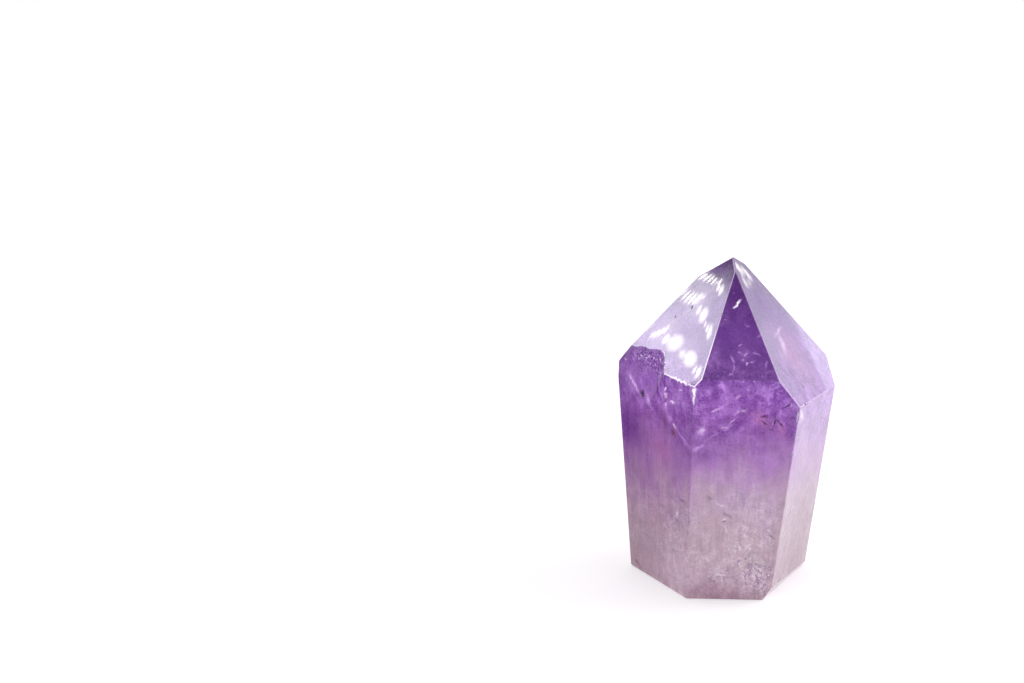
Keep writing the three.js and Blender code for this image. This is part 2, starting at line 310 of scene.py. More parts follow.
MARKS: dict[str, list[Mark]] = {
    "the painted highlight along the edge under the left tip face": [
        # Painted highlight: a white, glowing line along the edge.
        *strokes(Trace.PAINTED_GLINT, Face.LEFT_TIP, ((667, 375), (692.6, 386.4), 3.6, 0.8)),
    ],
    "the painted highlights and the dark notch at the left end of the hollow": [
        # Painted highlights along the outline, and a dark notch.
        *strokes(Trace.PAINTED_GLINT, Face.LEFT_TIP,
                 ((612.6, 357.2), (617, 353.2), 2.6, 0.8), ((620.6, 356.2), (622.2, 354.6), 1.8, 0.6)),
        *strokes(Trace.WISP_AND_SHADE, Face.LEFT_TIP, ((621.4, 355.2), (623.4, 350.4), 2.4, 0.8)),
    ],
    "the pale smear with its painted glow at the top of the front edge": [
        # A painted glow over the pale smear.
        *strokes(Trace.PAINTED_GLINT, Face.FRONT_SIDE,
                 ((694.6, 386), (694, 397), 4.4, 0.9), ((693.8, 395), (693.4, 406), 3.2, 0.8)),
        *strokes(Trace.VEIL, Face.LEFT_SIDE, ((690.4, 386), (691.2, 400), 3.4, 0.6)),
    ],
    "the crack across the left side, with its dark gap": [
        *strokes(Trace.VEIL, Face.LEFT_SIDE,
                 ((624, 370), (640.4, 395.6), 4.4, 0.7), ((634, 374), (641, 388), 2.2, 0.4),
                 ((641.4, 391), (652.8, 409.4), 5, 1), ((638, 410), (645.5, 401), 1.8, 0.5)),
        # Painted glint along the crack.
        *strokes(Trace.PAINTED_SPARK, Face.LEFT_SIDE, ((625.4, 372.6), (638.8, 393.4), 2.4, 0.55)),
        *strokes(Trace.DEPTH, Face.LEFT_SIDE, ((620, 376), (632, 398), 7, 0.4)),
        *strokes(Trace.WISP_AND_SHADE, Face.LEFT_SIDE,
                 ((637.4, 389.6), (645, 397.8), 5.9, 1), ((639.4, 392.2), (643.4, 395.6), 5, 1)),
    ],
    "the veil that runs down the left side to the front edge and up the front side": [
        *strokes(Trace.DEPTH, Face.LEFT_SIDE, ((649.6, 372), (661, 400), 4.4, 0.8)),
        # Painted glints in the veil.
        *strokes(Trace.PAINTED_SPARK, Face.LEFT_SIDE,
                 ((650, 369.6), (652.8, 373.4), 3, 1), ((672.6, 424), (676.4, 428.6), 3, 0.98)),
        *strokes(Trace.VEIL, Face.LEFT_SIDE,
                 ((653, 374), (658, 384), 3.4, 0.7), ((660, 392), (664, 402), 4, 0.6),
                 ((662.6, 402), (668.4, 413), 6, 0.8), ((666.6, 411), (673.4, 425), 8, 0.8),
                 ((675.4, 428), (692, 452), 2.8, 0.6), ((682, 440), (692.4, 450.8), 7, 0.6)),
        *strokes(Trace.VEIL, Face.FRONT_SIDE,
                 ((690.5, 452), (705, 444.2), 5.4, 0.8), ((703, 443), (721, 430.8), 3, 0.45),
                 ((722, 431), (733, 424.5), 3.2, 0.7), ((752, 466), (786, 462), 26, 0.35)),
        # Painted glints in the veil.
        *strokes(Trace.PAINTED_SPARK, Face.FRONT_SIDE,
                 ((719.4, 429.6), (728.6, 424.6), 2.8, 0.56), ((727, 425.6), (736, 418), 2.8, 0.56),
                 ((735, 413.8), (742.6, 409), 2.4, 0.56), ((740, 412.8), (748.4, 408.4), 3.2, 0.62)),
        *strokes(Trace.DEPTH, Face.FRONT_SIDE,
                 ((722, 434), (752, 417), 13, 0.5), ((740, 408), (752, 389), 10, 0.4),
                 ((693, 462), (712, 450), 20, 0.45)),
    ],
    "the pale clouds and bright curls of the gem zone": [
        *strokes(Trace.VEIL, Face.FRONT_SIDE,
                 ((705.6, 398), (711.6, 385), 10, 0.75), ((696, 442), (705, 424), 15, 0.8),
                 ((696, 388), (790, 388), 20, 0.3), ((714, 404), (740, 392), 20, 0.6),
                 ((722.4, 382), (723.6, 391), 4, 0.7), ((721, 407), (731, 401.6), 3.4, 0.7),
                 ((754, 396), (772, 382), 16, 0.35), ((770, 391), (782, 385), 3, 0.6),
                 ((765, 404), (770, 390), 9, 0.6)),
        # Painted glints on the brightest curls.
        *strokes(Trace.PAINTED_SPARK, Face.FRONT_SIDE,
                 ((696.5, 434), (707, 426), 9, 0.8), ((711, 412.6), (721.4, 408), 2.8, 0.6),
                 ((735.6, 399.2), (741, 395.2), 3, 0.62), ((747.6, 389.8), (750.6, 388.6), 3.2, 0.7),
                 ((790.2, 406.6), (793.6, 405), 3.4, 0.53), ((771.2, 426), (773.2, 421.2), 2.2, 0.53)),
        *strokes(Trace.VEIL, Face.LEFT_SIDE,
                 ((626, 378), (634, 398), 16, 0.4), ((672, 384), (682, 412), 26, 0.7)),
        # Painted glints.
        *strokes(Trace.PAINTED_SPARK, Face.LEFT_SIDE,
                 ((663.4, 390.8), (667.4, 386.4), 3.8, 0.98), ((664.8, 393.4), (666.6, 398.6), 3.8, 0.98),
                 ((669.4, 401), (675.6, 402.8), 3.8, 1), ((679, 391.2), (682, 389.4), 3, 0.74),
                 ((664.6, 403.2), (665.8, 405.8), 2.4, 0.74)),
        *strokes(Trace.DEPTH, Face.LEFT_SIDE,
                 ((624, 384), (634, 468), 42, 0.8), ((624, 410), (640, 520), 40, 0.3),
                 ((678, 400), (690, 470), 36, 0.2)),
        *strokes(Trace.FLUSH, Face.LEFT_SIDE, ((652, 340), (658, 640), 110, 0.22)),
    ],
    "the pink patch and its dark wisps": [
        *strokes(Trace.BLUSH, Face.FRONT_SIDE,
                 ((750, 406), (772, 434), 24, 0.6), ((774, 416), (786, 440), 18, 0.5)),
        *strokes(Trace.DEPTH, Face.FRONT_SIDE,
                 ((774.4, 404), (776.4, 428), 9, 0.6), ((786, 424), (794, 436), 14, 0.4)),
        *strokes(Trace.WISP_AND_SHADE, Face.FRONT_SIDE,
                 ((759.4, 417), (769.2, 416), 2.6, 0.98), ((759.8, 419.6), (767.4, 424.8), 2.8, 0.98),
                 ((771, 425.8), (778.2, 418.6), 2.8, 0.84), ((776.4, 418.2), (784, 430), 3, 0.84),
                 ((768.2, 428.4), (774.4, 432.4), 2.8, 0.84), ((781, 410.2), (792.8, 401.4), 2.8, 0.85),
                 ((760.4, 432.4), (765.4, 432.8), 2.2, 0.7)),
    ],
    "the brown stain beside the veil on the left side": [
        *strokes(Trace.RUST, Face.LEFT_SIDE,
                 ((659, 402), (669, 434), 9, 0.35), ((671.4, 426), (674.6, 440), 6.6, 1)),
        *strokes(Trace.BLUSH, Face.LEFT_SIDE, ((656, 420), (668, 478), 26, 0.5)),
    ],
    "the painted glint on the long chip of the front tip face, and painted shade on the chips of the left": [
        # Painted glint on the long chip.
        *strokes(Trace.PAINTED_GLINT, Face.FRONT_TIP, ((733.6, 308.6), (741.2, 299.8), 3.2, 0.9)),
        # Painted shade where chips break the mirror of the left tip face.
        *strokes(Trace.WISP_AND_SHADE, Face.LEFT_TIP,
                 ((690.8, 303.6), (692.6, 311.2), 3.4, 1), ((675.6, 314), (675, 320), 2.6, 0.7)),
    ],
    "curls in the front and right tip faces": [
        *strokes(Trace.VEIL, Face.FRONT_TIP,
                 ((730, 354), (734.4, 364), 3, 0.75), ((734.2, 362), (732.6, 373), 3, 0.6),
                 ((733, 372), (728.2, 377), 2.8, 0.7), ((738, 345.4), (744, 344.2), 3, 0.9),
                 ((738, 350.2), (743, 354.6), 3.2, 0.9), ((744, 358.4), (747.8, 351.2), 2.8, 0.9),
                 ((750, 362.8), (755, 360.6), 3, 0.9), ((738, 340), (752, 368), 22, 0.3),
                 ((702, 352), (716, 374), 18, 0.5), ((767.4, 360), (765.6, 369), 3.4, 0.6),
                 ((751, 351.4), (761.4, 356), 2.8, 0.6), ((744, 323.6), (751, 327.6), 3, 0.45),
                 ((741.4, 358.8), (746.4, 360.8), 2.8, 0.8), ((717.2, 354), (720.4, 374), 7, 0.35),
                 ((757, 337.8), (759.4, 334.6), 4, 0.6), ((719.8, 325.6), (723.6, 322.4), 2.4, 0.5),
                 ((726, 304), (728, 334), 9, 0.25), ((710, 370), (720, 342), 14, 0.5)),
        # Painted glint.
        *strokes(Trace.PAINTED_SPARK, Face.FRONT_TIP, ((746, 365.2), (748.4, 362.6), 2.8, 0.9)),
        *strokes(Trace.DEPTH, Face.FRONT_TIP,
                 ((724, 376), (770, 377), 9, 0.4), ((734, 266), (738, 316), 30, 0.8)),
        # Painted glow on the right tip face's curls.
        *strokes(Trace.PAINTED_GLINT, Face.RIGHT_TIP,
                 ((774, 337), (782, 326), 5, 0.3), ((779, 333), (786, 356), 5.6, 0.3),
                 ((781, 350), (783, 362), 9, 0.15)),
        *strokes(Trace.DEPTH, Face.RIGHT_TIP, ((748, 284), (774, 316), 22, 0.6)),
        # Partly the tip's deeper violet, partly a painted dark reflection at the top of the left tip face.
        *strokes(Trace.DEPTH, Face.LEFT_TIP, ((700, 266), (736, 264), 22, 0.7)),
        *strokes(Trace.BLUSH, Face.RIGHT_TIP, ((768, 310), (812, 392), 34, 0.55)),
        # Painted shade.
        *strokes(Trace.PAINTED_SHADE, Face.RIGHT_TIP, ((778, 336), (826, 396), 40, 0.3)),
        *strokes(Trace.RUST, Face.RIGHT_TIP, ((801.6, 384.4), (803, 388.4), 3, 0.6)),
    ],
    "the pale streak with its painted highlight, and the painted shade, of the right side": [
        # Painted highlight at the top of the right side, over a pale streak.
        *strokes(Trace.PAINTED_GLINT, Face.RIGHT_SIDE, ((799.6, 408), (804, 420), 4, 0.25)),
        *strokes(Trace.CHALK_AND_HIGHLIGHT, Face.RIGHT_SIDE,
                 ((799, 408), (803.6, 425), 8, 0.75), ((799, 404), (806, 470), 20, 0.3)),
        # Painted shade lower down.
        *strokes(Trace.PAINTED_SHADE, Face.RIGHT_SIDE, ((804, 440), (790, 650), 70, 0.85)),
    ],
    "veins and smears in the milky foot, with painted shade and a painted glint": [
        # Painted shade on the left of the foot, along its bottom and in a small patch.
        *strokes(Trace.PAINTED_SHADE, Face.LEFT_SIDE, ((632, 500), (648, 640), 80, 0.95)),
        *strokes(Trace.PAINTED_SHADE, Face.FRONT_SIDE,
                 ((650, 600), (800, 600), 44, 0.75), ((698, 534), (700, 552), 12, 0.35)),
        *strokes(Trace.CHALK_AND_HIGHLIGHT, Face.LEFT_SIDE, ((677.2, 509.2), (676.6, 518.4), 2.2, 0.7)),
        *strokes(Trace.WISP_AND_SHADE, Face.LEFT_SIDE, ((676.8, 517.2), (677.6, 522.8), 2.2, 0.4)),
        *strokes(Trace.CRACKLE, Face.LEFT_SIDE, ((678.6, 496.2), (685.8, 505.8), 2.4, 0.6)),
        *strokes(Trace.CRACKLE, Face.FRONT_SIDE,
                 ((705.2, 495.4), (713.6, 500.6), 3.2, 0.6), ((721.6, 512.8), (732, 518.6), 3.2, 0.6),
                 ((721, 521.6), (728.4, 521.8), 2, 0.8)),
        *strokes(Trace.CHALK_AND_HIGHLIGHT, Face.FRONT_SIDE,
                 ((714.6, 504.2), (728, 506.6), 2.2, 0.6), ((720.6, 519.6), (727.8, 520), 1.8, 0.8),
                 ((724.4, 524.2), (728, 533.4), 2.2, 0.7), ((767.6, 530.8), (770.4, 529.2), 2.2, 0.7),
                 ((712, 577.2), (721.4, 573.8), 2.2, 0.6), ((719, 573.2), (723.6, 584.6), 2.2, 0.6)),
        *strokes(Trace.WISP_AND_SHADE, Face.FRONT_SIDE, ((768.4, 533.4), (775.8, 539.6), 2, 0.7)),
        *strokes(Trace.RUST, Face.LEFT_SIDE, ((634.6, 558), (642, 569), 4.4, 0.9)),
        # Painted glint at the corner of the foot.
        *strokes(Trace.PAINTED_GLINT, Face.FRONT_SIDE, ((767.2, 575.8), (769.4, 575), 2.6, 0.45)),
    ],
}
# The inclusions that the photograph shows close under the skin, and the painted highlights, glints and shade
# laid with them.
"""The inclusions that the photograph shows close under the skin."""

CRACKLED = strokes(
    Trace.CRACKLE, Face.FRONT_SIDE,
    ((732, 590), (782, 562), 46, 1), ((748, 602), (778, 574), 30, 1),
    ((694, 584), (740, 570), 22, 0.8), ((730, 566), (756, 556), 16, 0.8),
)
"""The crackled corner of the foot."""


@dataclass(frozen=True)
class Pattern:
    """One irregular pattern in the quartz: how wide and high its forms are, and how fine it is."""

    wide_mm: float
    high_mm: float
    detail: float
    roughness: float = 0.5
    distortion: float = 0.0


class Grain(Enum):
    """The patterns that run through the stone. The grit is drawn coarser than it is, so that it shows."""

    FLAMES = Pattern(2.0, 12.0, 4.0, 0.62, 0.3)
    CLOUDS = Pattern(7.5, 7.5, 5.0, 0.6)
    FOG = Pattern(2.6, 2.6, 5.0, 0.65)
    GRIT = Pattern(0.42, 0.42, 2.0, 0.7)
    FIBRES = Pattern(0.625, 6.25, 3.0)
    HAMMERING = Pattern(0.3125, 0.3125, 3.0, 0.6)
    RIPPLES = Pattern(6.25, 6.25, 1.0)


class Wear(Enum):
    """What is marked on the mesh for the material, by the name of its attribute."""

    ROUGH = "rough_skin"
    CHIPPED = "chipped"
    FROSTED = "frosted"
    # The rolled edges that take a painted highlight: white and glowing.
    EDGE_HIGHLIGHT = "edge_highlight"
    # The front tip face, which takes painted shade.
    FRONT_TIP_SHADE = "deep"


@dataclass
class Skin:
    """The sockets of a skin's look while it is laid together."""

    tree: bpy.types.NodeTree
    colour: bpy.types.NodeSocket
    clear: bpy.types.NodeSocket
    haze: bpy.types.NodeSocket

    def lay(self, look: Look, *shares: bpy.types.NodeSocket | float) -> None:
        """Lays another look over this one.

        Args:
            look: the look that is laid over.
            shares: how much of it shows at each place, as factors.
        """
        share = shares[0]
        for factor in shares[1:]:
            share = add_node(self.tree, "Math", {"operation": "MULTIPLY"}, {0: share, 1: factor}).outputs[0]
        clear, haze = ((value, value, value, 1) for value in (look.clear, look.haze))
        for name, value in (("colour", linear(look.colour)), ("clear", clear), ("haze", haze)):
            feeds = {"Fac": share, "Color1": getattr(self, name), "Color2": value}
            setattr(self, name, add_node(self.tree, "MixRGB", feeds=feeds).outputs[0])


@dataclass(frozen=True)
class Amethyst:
    """Amethyst, a violet quartz, ground and polished: gem quartz at the tip and milky quartz at the foot.

    The polish is a clear coat that mirrors the room sharply. Under it the gem quartz lets light through and
    the milky quartz scatters it, so the tip looks deep and the foot looks like fog.
    """

    refraction: float = 1.55
    """Quartz: 1.544 to 1.553."""
    polish: float = 0.015
    absorb_colour: str = "#b52cca"
    absorb_per_metre: float = 50.0
    bands: tuple[Band, ...] = (
        # The lowest bands are darker: painted shade where the foot stands on the floor.
        Band(0, Look("#ac8c9b", 0.15, 0.35)),
        Band(3.5, Look("#c1a5b4", 0.18, 0.35)),
        Band(14, Look("#caafbe", 0.2, 0.35)),
        Band(22, Look("#ccabcb", 0.25, 0.35)),
        Band(30, Look("#c791d8", 0.42, 0.3)),
        Band(37, Look("#c07ce0", 0.6, 0.3)),
        Band(43, Look("#c27bea", 0.6, 0.3)),
        Band(49, Look("#a964dc", 0.82, 0.3)),
        Band(55, Look("#9a4ccc", 0.88, 0.3)),
        Band(64, Look("#6f1f9a", 0.75, 0.3)),
    )
    foot_shadow: Look = Look("#aa849f", 0.2, 0.35)
    foot_bank: Look = Look("#d8c8d2", 0.15, 0.35)
    foot_bank_share: float = 0.5
    pale_vein_share: float = 0.9
    dark_vein_share: float = 0.7
    front_tip_shade_share: float = 0.36
    # How much painted shade, in the depth's look, the front tip face takes on.
    """How much of the depth's look the front tip face takes on."""
    front_tip_shade_calm: float = 0.75
    """How much of the gem quartz's clouds is left there."""
    gem_rim_share: float = 0.25
    gem_pit_share: float = 0.45
    crackle_shadow: Look = Look("#6a4380", 0.3, 0.3)
    pale_crackle_share: float = 0.6
    rough_skin: Look = Look("#bc7ce0", 0.45, 0.33)
    rough_share: float = 0.6
    rough_dulls: float = 0.85
    """How much of the polish the rough hollow has lost."""
    # In the pitted hollow: painted shade in the pits, and painted highlights on their rims, specks and cells.
    pit_shade: Look = Look("#5b2f7c", 0.4, 0.3)
    pit_rim_highlight: Look = Look("#d6a8f2", 0.15, 0.4)
    speck_glint: Look = Look("#dcc0f0", 0.15, 0.4)
    speck_glint_share: float = 0.5
    cell_glint: Look = Look("#f8ecff", 0.0, 0.4)
    cell_glint_share: float = 0.75
    chip: Look = Look("#e0d2ec", 0.35, 0.45)
    chip_dulls: float = 0.8
    """How much of the polish a chip has lost."""
    # Painted highlight on the rolled edges: nearly white, and it glows.
    painted_edge_highlight: Look = Look("#fbf6ff", 0.0, 0.4)
    flame_lift_mm: float = 11.0
    cloud_lift_mm: float = 14.0
    edge_lift_per_mm: float = 0.012
    mean_lift_mm: float = 12.5
    thread_mm: float = 2.4
    thread_thin: float = 0.022
    thread_wind: float = 0.6
    vein_mm: float = 3.0
    vein_thin: float = 0.03
    dark_vein_mm: float = 2.1
    dark_vein_thin: float = 0.026
    crackle_mm: float = 1.7
    pale_crackle_mm: float = 1.36
    crackle_thin: float = 0.055
    warp_scale: float = 0.8
    warp_mm: float = 1.7
    give_mm: float = 0.05
    mark_depth_mm: float = 2.5
    slender: float = 6.0
    """How wide a mark is at most that counts as slender."""
    slender_form: tuple[float, float] = (0.62, 0.2)
    """A slender mark's half length in lengths, and where its full middle ends."""
    broad_form: tuple[float, float] = (0.5, -0.1)
    mark_rim: float = 1.1
    clear_swing: float = 0.35
    shade_swings: tuple[tuple[Grain, float], ...] = (
        (Grain.FOG, 0.36), (Grain.FIBRES, 0.28), (Grain.GRIT, 0.3),
    )
    hammer_height: float = 43.0
    relief_mm: float = 0.0018
    # Painted glow: the painted glints and edge highlights give off a little light.
    glow_colour: str = "#f6e4ff"
    glint_glow: float = 0.4

    def draw_grain(
        self, tree: bpy.types.NodeTree, mm: bpy.types.NodeSocket
    ) -> dict[Grain, bpy.types.NodeSocket]:
        """Draws the patterns that run through the stone.

        Args:
            tree: the material's nodes.
            mm: the place in millimetres.

        Returns:
            How strong each pattern is at each place.
        """
        drawn = {}
        for kind in Grain:
            pattern = kind.value
            place, scale = mm, 1 / pattern.wide_mm
            if pattern.wide_mm != pattern.high_mm:
                stretch = (scale, scale, 1 / pattern.high_mm)
                place, scale = add_node(tree, "Mapping", feeds={0: mm, "Scale": stretch}).outputs[0], 1.0
            drawn[kind] = add_node(
                tree, "TexNoise",
                feeds={"Vector": place, "Scale": scale, "Detail": pattern.detail,
                       "Roughness": pattern.roughness, "Distortion": pattern.distortion},
            ).outputs["Fac"]
        return drawn

    def find_level(
        self, tree: bpy.types.NodeTree, mm: bpy.types.NodeSocket, grain: dict[Grain, bpy.types.NodeSocket]
    ) -> tuple[bpy.types.NodeSocket, bpy.types.NodeSocket]:
        """Finds how high each place counts: the flames and clouds move it, and so does the way to the sides.

        Args:
            tree: the material's nodes.
            mm: the place in millimetres.
            grain: the patterns.

        Returns:
            The true height and the moved one, in millimetres.
        """
        axes = add_node(tree, "SeparateXYZ", feeds={0: mm})
        side, height = axes.outputs["X"], axes.outputs["Z"]
        aside = add_node(tree, "Math", {"operation": "MULTIPLY"}, {0: side, 1: side}).outputs[0]
        level = height
        for value, weight in (
            (grain[Grain.FLAMES], self.flame_lift_mm),
            (grain[Grain.CLOUDS], self.cloud_lift_mm),
            (aside, self.edge_lift_per_mm),
        ):
            feeds = {0: value, 1: weight, 2: level}
            level = add_node(tree, "Math", {"operation": "MULTIPLY_ADD"}, feeds).outputs[0]
        return height, add_node(
            tree, "Math", {"operation": "SUBTRACT"}, {0: level, 1: self.mean_lift_mm}
        ).outputs[0]

    def base_skin(self, tree: bpy.types.NodeTree, level: bpy.types.NodeSocket) -> Skin:
        """Lays the bands from the foot to the tip.

        Args:
            tree: the material's nodes.
            level: how high each place counts, in millimetres.

        Returns:
            The skin with the bands' looks.
        """
        top = self.bands[-1].height_mm
        feeds = {"Value": level, "From Min": 0.0, "From Max": top}
        share = add_node(tree, "MapRange", feeds=feeds).outputs[0]
        ramps = []
        for value in ("colour", "clear", "haze"):
            ramp = add_node(tree, "ValToRGB", feeds={0: share})
            for i, band in enumerate(self.bands):
                at = band.height_mm / top
                stop = ramp.color_ramp.elements[i] if i < 2 else ramp.color_ramp.elements.new(at)
                stop.position = at
                worth = getattr(band.look, value)
                stop.color = linear(worth) if isinstance(worth, str) else (worth, worth, worth, 1)
            ramps.append(ramp.outputs[0])
        return Skin(tree, *ramps)

    def threads(
        self, tree: bpy.types.NodeTree, mm: bpy.types.NodeSocket, size_mm: float, thin: float
    ) -> bpy.types.NodeSocket:
        """Draws fine winding threads, as healed cracks show in quartz.

        Args:
            tree: the material's nodes.
            mm: the place in millimetres.
            size_mm: how wide the threads wind.
            thin: how far from its middle value the noise under them may be.

        Returns:
            How much of a thread is at each place.
        """
        field = add_node(
            tree, "TexNoise",
            feeds={"Vector": mm, "Scale": 1 / size_mm, "Detail": 2.0, "Roughness": 0.6,
                   "Distortion": self.thread_wind},
        ).outputs["Fac"]
        off = add_node(tree, "Math", {"operation": "SUBTRACT"}, {0: field, 1: 0.5}).outputs[0]
        away = add_node(tree, "Math", {"operation": "ABSOLUTE"}, {0: off}).outputs[0]
        feeds = {"Value": away, "From Min": thin, "From Max": 0.0}
        return add_node(tree, "MapRange", SMOOTH, feeds).outputs[0]

    def spread(
        self, tree: bpy.types.NodeTree, wavy: bpy.types.NodeSocket, marks: Sequence[Mark]
    ) -> bpy.types.NodeSocket:
        """Says how much of some marks shows at each place.

        Args:
            tree: the material's nodes.
            wavy: the place in millimetres, with the warp that makes the marks uneven.
            marks: the marks.

        Returns:
            The share of the strongest mark there.
        """
        total = None
        for mark in marks:
            facet = find_facet(mark.face)
            start, end = facet.seen_at(mark.start), facet.seen_at(mark.end)
            along = end - start
            across = facet.normal.cross(along).normalized()
            run, rise = mark.end[0] - mark.start[0], mark.end[1] - mark.start[1]
            reach = mark.wide / 2 / math.hypot(run, rise)
            side = facet.seen_at((mark.start[0] - rise * reach, mark.start[1] + run * reach)) - start
            turn = Matrix((along.normalized(), across, facet.normal)).transposed()
            long, core = self.slender_form if mark.wide < self.slender else self.broad_form
            half = Vector((along.length * long, abs(side.dot(across)), self.mark_depth_mm * MM))
            local = add_node(
                tree, "Mapping", {"vector_type": "TEXTURE"},
                {"Vector": wavy, "Location": (start + end) / 2 / MM, "Rotation": turn.to_euler(),
                 "Scale": half / MM},
            ).outputs[0]
            away = add_node(tree, "VectorMath", {"operation": "LENGTH"}, {0: local}).outputs["Value"]
            feeds = {"Value": away, "From Min": self.mark_rim, "From Max": core, "To Max": mark.share}
            here = add_node(tree, "MapRange", SMOOTH, feeds).outputs[0]
            total = here if total is None else add_node(
                tree, "Math", {"operation": "MAXIMUM"}, {0: total, 1: here}
            ).outputs[0]
        return total

    def lay_quartz(
        self, skin: Skin, mm: bpy.types.NodeSocket, shares: dict[str, bpy.types.NodeSocket],
        deep: bpy.types.NodeSocket,
    ) -> None:
        """Lays the clouds and threads of the gem quartz, and those of the milky foot.

        Args:
            skin: the skin so far.
            mm: the place in millimetres.
            shares: how far each look reaches.
            deep: the front tip face, which takes painted shade, as it looks into the dark of the stone.
        """
        tree = skin.tree
        gem, milk, patches, banks = (shares[name] for name in ("gem", "milk", "patches", "banks"))
        feeds = {"Value": deep, "To Min": 1.0, "To Max": self.front_tip_shade_calm}
        shallow = add_node(tree, "MapRange", feeds=feeds).outputs[0]
        for share in (shares["calm"], shallow):
            gem = add_node(tree, "Math", {"operation": "MULTIPLY"}, {0: gem, 1: share}).outputs[0]
        skin.lay(Trace.VEIL.value, banks, gem)
        skin.lay(Trace.DEPTH.value, shares["gaps"], gem)
        skin.lay(Trace.VEIL.value, self.threads(tree, mm, self.thread_mm, self.thread_thin), patches, gem)
        # Painted shade: the front tip face darkened as a whole.
        skin.lay(Trace.DEPTH.value, deep, self.front_tip_shade_share)
        skin.lay(self.foot_shadow, shares["shadows"], milk)
        skin.lay(self.foot_bank, banks, milk, self.foot_bank_share)
        veins = self.threads(tree, mm, self.vein_mm, self.vein_thin)
        skin.lay(Trace.CHALK_AND_HIGHLIGHT.value, veins, milk, patches, self.pale_vein_share)
        dark_veins = self.threads(tree, mm, self.dark_vein_mm, self.dark_vein_thin)
        skin.lay(Trace.CRACKLE.value, dark_veins, milk, patches, self.dark_vein_share)
        skin.lay(Trace.VEIL.value, shares["rims"], gem, self.gem_rim_share)
        skin.lay(Trace.DEPTH.value, shares["pits"], gem, self.gem_pit_share)

    def lay_marks(
        self, skin: Skin, mm: bpy.types.NodeSocket, broken: bpy.types.NodeSocket
    ) -> bpy.types.NodeSocket:
        """Lays the marks over the skin, each kind a little aside where the kinds before it lie.

        Args:
            skin: the skin so far.
            mm: the place in millimetres.
            broken: how much of a mark its broken grain lets through.

        Returns:
            The share of the painted glints, which glow as if they threw light back.
        """
        tree = skin.tree
        drift = add_node(
            tree, "TexNoise", feeds={"Vector": mm, "Scale": self.warp_scale, "Detail": 4.0, "Roughness": 0.65}
        ).outputs["Color"]
        centred = add_node(
            tree, "VectorMath", {"operation": "SUBTRACT"}, {0: drift, 1: (0.5, 0.5, 0.5)}
        ).outputs[0]
        wavy = add_node(
            tree, "VectorMath", {"operation": "MULTIPLY_ADD"}, {0: centred, 1: (self.warp_mm,) * 3, 2: mm}
        ).outputs[0]
        crackled = self.spread(tree, wavy, CRACKLED)
        pale, dark = (
            self.threads(tree, mm, size_mm, self.crackle_thin)
            for size_mm in (self.pale_crackle_mm, self.crackle_mm)
        )
        skin.lay(Trace.CHALK_AND_HIGHLIGHT.value, crackled, pale, self.pale_crackle_share)
        skin.lay(self.crackle_shadow, crackled, dark)
        for trace in Trace:
            alike = [mark for marks in MARKS.values() for mark in marks if mark.trace is trace]
            share = self.spread(tree, wavy, alike)
            skin.lay(trace.value, *((share,) if trace in SOFT else (share, broken)))
            wavy = add_node(
                tree, "VectorMath", {"operation": "MULTIPLY_ADD"}, {0: share, 1: (self.give_mm,) * 3, 2: wavy}
            ).outputs[0]
        return share

    def vary(self, skin: Skin, grain: dict[Grain, bpy.types.NodeSocket]) -> None:
        """Makes the skin a little clearer and darker, or milkier and paler, from place to place.

        Args:
            skin: the skin so far.
            grain: the patterns.
        """
        tree = skin.tree
        for kind in (Grain.FOG, Grain.GRIT):
            feeds = {0: grain[kind], 1: self.clear_swing, 2: skin.clear}
            skin.clear = add_node(tree, "Math", {"operation": "MULTIPLY_ADD"}, feeds).outputs[0]
        skin.clear = add_node(
            tree, "Math", {"operation": "SUBTRACT", "use_clamp": True}, {0: skin.clear, 1: self.clear_swing}
        ).outputs[0]
        for kind, swing in self.shade_swings:
            feeds = {"Value": grain[kind], "To Min": 1 - swing, "To Max": 1 + swing}
            shade = add_node(tree, "MapRange", feeds=feeds).outputs[0]
            feeds = {0: skin.colour, "Scale": shade}
            skin.colour = add_node(tree, "VectorMath", {"operation": "SCALE"}, feeds).outputs[0]

    def relief(
        self, tree: bpy.types.NodeTree, grain: dict[Grain, bpy.types.NodeSocket], rough: bpy.types.NodeSocket
    ) -> bpy.types.NodeSocket:
        """Ripples the polish faintly, and hammers the rough hollow.

        Args:
            tree: the material's nodes.
            grain: the patterns.
            rough: where the rough hollow is.

        Returns:
            The normal of the skin.
        """
        hammered = add_node(tree, "Math", {"operation": "MULTIPLY"}, {0: grain[Grain.HAMMERING], 1: rough})
        feeds = {0: hammered.outputs[0], 1: self.hammer_height, 2: grain[Grain.RIPPLES]}
        height = add_node(tree, "Math", {"operation": "MULTIPLY_ADD"}, feeds).outputs[0]
        feeds = {"Height": height, "Distance": self.relief_mm * MM, "Strength": 1.0}
        return add_node(tree, "Bump", feeds=feeds).outputs[0]

